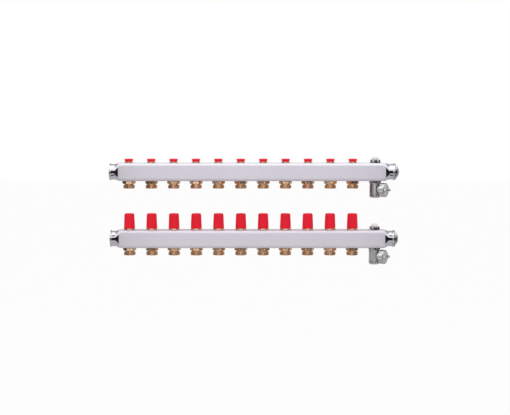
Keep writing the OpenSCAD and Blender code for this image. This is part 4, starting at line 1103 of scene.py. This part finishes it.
def drain_knob_mesh():
    """Drain knob: a fluted, rounded grip under the body, and the plug that turns in it."""
    low = KNOB_TOP + KNOB_H

    def profile_at(angle):
        plug = [(0, -PLUG_TOP), (PLUG_R - 0.4, -PLUG_TOP), (PLUG_R, -PLUG_TOP - 0.4),
                *groove_line(PLUG_R, -DRAIN_SEAL, -(SEAL_GROOVE / 2 + SEAL_ROOM), SEAL_GROOVE),
                *groove_line(PLUG_R, -DRAIN_RING, -DRAIN_RING_HALF, DRAIN_RING_HALF)]
        grip = [(PLUG_R, -KNOB_TOP), (KNOB_R - 0.6, -KNOB_TOP)]
        lines = [(KNOB_R, -KNOB_TOP - 0.5), (KNOB_R, -KNOB_TOP - 2), (KNOB_R, -low + KNOB_ROUND),
                 *quarter(KNOB_R - KNOB_ROUND, -low + KNOB_ROUND, KNOB_ROUND, 7, -1)[1:-1]]
        groove = flute(angle, KNOB_FLUTES, KNOB_R, KNOB_FLUTE_DEPTH, KNOB_FLUTE_R)
        grip += [(radius - groove * unit((radius - KNOB_FLUTE_END) / 2), z) for radius, z in lines]
        return [*plug, *grip, (KNOB_R - KNOB_ROUND, -low), (3, -low), (0, -low)]

    knob = turned("drain_knob", profile_at, 120, False)
    knob = combine(knob, rod(PASSAGE_R, -BRANCH_DEPTH - PASSAGE_R, 0), "DIFFERENCE")
    side = moved(moved(rod(PORT_R, 0, 2 * PLUG_R), BRANCH), Matrix.Rotation(-TURN / 4, 4, "Z"))
    return combine(knob, side, "DIFFERENCE")


def drain_cap_mesh():
    """Screw cap of the drain: a scalloped cup with a square recess and two round-ended ears."""

    def cup(angle):
        lines = [(DRAIN_CAP_R - 0.5, DRAIN_CAP_FOOT), (DRAIN_CAP_R, DRAIN_CAP_FOOT + 0.5),
                 (DRAIN_CAP_R, CAP_SIDE_END),
                 *quarter(DRAIN_CAP_R - CAP_RIM_R, DRAIN_CAP_FACE - CAP_CROWN - CAP_RIM_R, CAP_RIM_R, 6)]
        lines += [(r, DRAIN_CAP_FACE - CAP_CROWN * (r / (DRAIN_CAP_R - CAP_RIM_R)) ** 2) for r in (12, 10, 8)]
        skin = [(r - flute(angle, SCALLOPS, r, SCALLOP_DEPTH, SCALLOP_R), z) for r, z in lines]
        return [(0, DRAIN_CAP_FLOOR), (CAP_THREAD_R, DRAIN_CAP_FLOOR), (CAP_THREAD_R, DRAIN_CAP_FOOT + 0.6),
                (CAP_THREAD_R + 0.6, DRAIN_CAP_FOOT), *skin, (6, DRAIN_CAP_FACE), (0, DRAIN_CAP_FACE)]

    def ear(angle):
        return [(0, DRAIN_CAP_FACE - 1), (EAR_R, DRAIN_CAP_FACE - 1), *quarter(0, EAR_END - EAR_R, EAR_R, 8)]

    cap = turned("drain_cap", cup, 96, False)
    for side in (-1, 1):
        shift = Matrix.Translation((0, side * EAR_OFFSET * MM, 0))
        cap = combine(cap, moved(turned("ear", ear, 32, False), shift), "UNION")
    cap = combine(cap, block((RECESS_W, RECESS_W, 2 * RECESS_H), (0, 0, DRAIN_CAP_FACE)), "DIFFERENCE")
    return moved(cap, BRANCH)


class MANIFOLD_OT_drain_valves(bpy.types.Operator):
    """Makes the drain valves: bodies, gaskets, knobs and screw caps."""

    bl_idname = "manifold.drain_valves"
    bl_label = "Drain Valves"

    def execute(self, context):
        sizes = context.scene.manifold_sizes
        for bar in BAR_Z:
            place = under(bar, SERVICE_X)
            fitted(bar + "_drain_barrel", drain_body_mesh(sizes), "nickel", place, "drain_bodies")
            gasket(bar + "_drain_gasket", DRAIN_AF / 2, DRAIN_SHANK_R + HOLE_ROOM, place, "fitting_gaskets",
                   HANGING)
            fitted(bar + "_drain_grip", drain_knob_mesh(), "nickel", place, bar + "_drain_knob", moves=True)
            fitted(bar + "_drain_cover", drain_cap_mesh(), "nickel", place, bar + "_drain_cap", moves=True)
        return {"FINISHED"}


class MANIFOLD_OT_inner_pieces(bpy.types.Operator):
    """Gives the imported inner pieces, such as pins, glands and seals, their finishes."""

    bl_idname = "manifold.inner_pieces"
    bl_label = "Inner Pieces"

    def execute(self, context):
        for part in frame["record"]["subparts"]:
            dress(frame["nodes"][part["node"]], part["material_slot"])
        return {"FINISHED"}


# Studio, in metres: the cards have a tone, two plan points of their foot, a top and a lean to the back
FLOOR_Z, FLOOR_REACH, FLOOR_TONE, FLOOR_WHITE = CAD_BOX[0].z - 0.4, 9, 0.55, 0.95
LAMP_SIZE, LAMP_PLACE, LAMP_TILT = (3.0, 1.5), (0, -0.5, 1.35), math.radians(-18)
CARD_FOOT = FLOOR_Z + 0.02
CARDS = (
    ("floor_card", 0.5, (-3, -2), (3, -2), CARD_FOOT, 4.5),
    ("front_left_card", 0.05, (-3, -2), (-0.66, -2), 0.3, 0),
    ("front_right_card", 0.05, (0.46, -2), (3, -2), 0.3, 0),
    ("left_card", 0.05, (-1.5, -1.02), (-1.5, 1), 0.25, 0),
    ("right_card", 0.03, (1.5, -2), (1.5, -0.1), 0.25, 0),
    ("right_back_card", 0.6, (1.5, -0.1), (1.5, 1), 0.25, 0),
    ("back_card", 0.42, (-3, 2.5), (3, 2.5), 1.6, -1.75),
)
# Small dark cards before the bars' ends, in millimetres from the mouth, the bar's middle plane and its axis
FLAG_TONE, FLAG_START, FLAG_END, FLAG_FRONT, FLAG_HALF = 0.015, -17, 140, 130, 45
SENSOR_WIDTH = 36
AIM = Vector((0.0067, -0.02, 0.070))


def staged(name, corners, material):
    """A four-cornered sheet of the stage."""
    mesh = bpy.data.meshes.new(name)
    mesh.from_pydata(corners, [], [(0, 1, 2, 3)])
    mesh.materials.append(material)
    sheet = new_piece(name, mesh)
    return sheet


def plain_material(name):
    """A material with no shader yet, its tree and its output node."""
    material = bpy.data.materials.new(name)
    material.use_nodes = True
    material.node_tree.nodes.clear()
    return material, material.node_tree, add(material.node_tree, "ShaderNodeOutputMaterial")


def card(name, tone, first, second, top, lean=0.0, foot=CARD_FOOT):
    """A plain card of the studio, which only reflections show."""
    paper, tree, out = plain_material(name)
    feed(out, Surface=add(tree, "ShaderNodeEmission", Color=(tone, tone, tone, 1), Strength=1.0))
    sheet = staged(name, [(*first, foot), (*second, foot), (second[0], second[1] + lean, top),
                          (first[0], first[1] + lean, top)], paper)
    sheet.visible_camera = sheet.visible_diffuse = sheet.visible_shadow = sheet.visible_transmission = False


def seen_white(tree, plain, out, white_kind, share=1.0):
    """Shows a share of white to camera, glossy and transmission rays, and the plain shader to the rest."""
    path = add(tree, "ShaderNodeLightPath").outputs
    seen = maths(tree, "MAXIMUM", path["Is Camera Ray"], path["Is Glossy Ray"])
    seen = maths(tree, "MAXIMUM", seen, path["Is Transmission Ray"])
    white = add(tree, white_kind, Color=(1, 1, 1, 1), Strength=1.0)
    part = maths(tree, "MULTIPLY", seen, share)
    feed(out, Surface=add(tree, "ShaderNodeMixShader", i0=part, i1=plain, i2=white))


class MANIFOLD_OT_stage(bpy.types.Operator):
    """Makes the pale floor, the soft light and the camera."""

    bl_idname = "manifold.stage"
    bl_label = "Stage"

    def execute(self, context):
        stage = context.scene.manifold_stage
        scene = context.scene
        scene.view_settings.view_transform = "Standard"

        world = bpy.data.worlds.new("White Room")
        world.use_nodes = True
        scene.world = world
        nodes = world.node_tree.nodes
        room = feed(nodes["Background"], Color=(1, 1, 1, 1), Strength=stage.surroundings)
        seen_white(world.node_tree, room, nodes["World Output"], "ShaderNodeBackground")

        paint, tree, out = plain_material("Pale Floor")
        matt = add(tree, "ShaderNodeBsdfDiffuse", Color=(FLOOR_TONE, FLOOR_TONE, FLOOR_TONE, 1))
        seen_white(tree, matt, out, "ShaderNodeEmission", FLOOR_WHITE)
        around = ((-1, -1), (1, -1), (1, 1), (-1, 1))
        staged("floor", [(x * FLOOR_REACH, y * FLOOR_REACH, FLOOR_Z) for x, y in around], paint)

        lamp = bpy.data.lights.new("overhead", "AREA")
        lamp.shape, lamp.energy = "RECTANGLE", stage.key
        lamp.size, lamp.size_y = LAMP_SIZE
        light = bpy.data.objects.new("overhead", lamp)
        light.location = LAMP_PLACE
        light.rotation_euler = (LAMP_TILT, 0, 0)
        scene.collection.objects.link(light)

        for each in CARDS:
            card(*each)
        y = (BAR_Y - FLAG_FRONT) * MM
        for bar, z in BAR_Z.items():
            for end, side in (("left", -1), ("right", 1)):
                near, far = side * (MOUTH + FLAG_START) * MM, side * (MOUTH + FLAG_END) * MM
                card(bar + "_" + end + "_flag", FLAG_TONE, (near, y), (far, y), (z + FLAG_HALF) * MM,
                     foot=(z - FLAG_HALF) * MM)

        lens = bpy.data.cameras.new("camera")
        lens.sensor_width = SENSOR_WIDTH
        lens.lens = SENSOR_WIDTH * stage.distance / stage.frame_width
        lens.clip_start, lens.clip_end = 0.05, 60
        camera = bpy.data.objects.new("camera", lens)
        back = Vector((0, -math.cos(stage.elevation), math.sin(stage.elevation)))
        camera.location = AIM + back * stage.distance
        camera.rotation_mode = "QUATERNION"
        camera.rotation_quaternion = (-back).to_track_quat("-Z", "Y")
        scene.collection.objects.link(camera)
        scene.camera = camera
        return {"FINISHED"}


class MANIFOLD_PT_panel(bpy.types.Panel):
    """Lists the manifold's pieces and sizes."""

    bl_idname = "MANIFOLD_PT_panel"
    bl_label = "Heating Manifold"
    bl_space_type = "VIEW_3D"
    bl_region_type = "UI"
    bl_category = "Manifold"

    def draw(self, context):
        for operator in OPERATORS:
            self.layout.operator(operator.bl_idname)
        for name, group in GROUPS:
            box = self.layout.box()
            for key in group.__annotations__:
                box.prop(getattr(context.scene, name), key)


GROUPS = (
    ("manifold_sizes", ManifoldSizes),
    ("manifold_finishes", ManifoldFinishes),
    ("manifold_stage", ManifoldStage),
)
OPERATORS = (
    MANIFOLD_OT_stage, MANIFOLD_OT_inner_pieces, MANIFOLD_OT_bars, MANIFOLD_OT_end_plugs, MANIFOLD_OT_outlets,
    MANIFOLD_OT_lower_valves, MANIFOLD_OT_hand_caps, MANIFOLD_OT_balancing_valves, MANIFOLD_OT_air_vents,
    MANIFOLD_OT_drain_valves,
)


def register():
    for name, group in GROUPS:
        bpy.utils.register_class(group)
        setattr(bpy.types.Scene, name, bpy.props.PointerProperty(type=group))
    for operator in OPERATORS:
        bpy.utils.register_class(operator)
    bpy.utils.register_class(MANIFOLD_PT_panel)


def unregister():
    bpy.utils.unregister_class(MANIFOLD_PT_panel)
    for operator in reversed(OPERATORS):
        bpy.utils.unregister_class(operator)
    for name, group in reversed(GROUPS):
        delattr(bpy.types.Scene, name)
        bpy.utils.unregister_class(group)


def main():
    register()
    for operator in OPERATORS:
        family, name = operator.bl_idname.split(".")
        getattr(getattr(bpy.ops, family), name)()


if __name__ == "__main__":
    main()
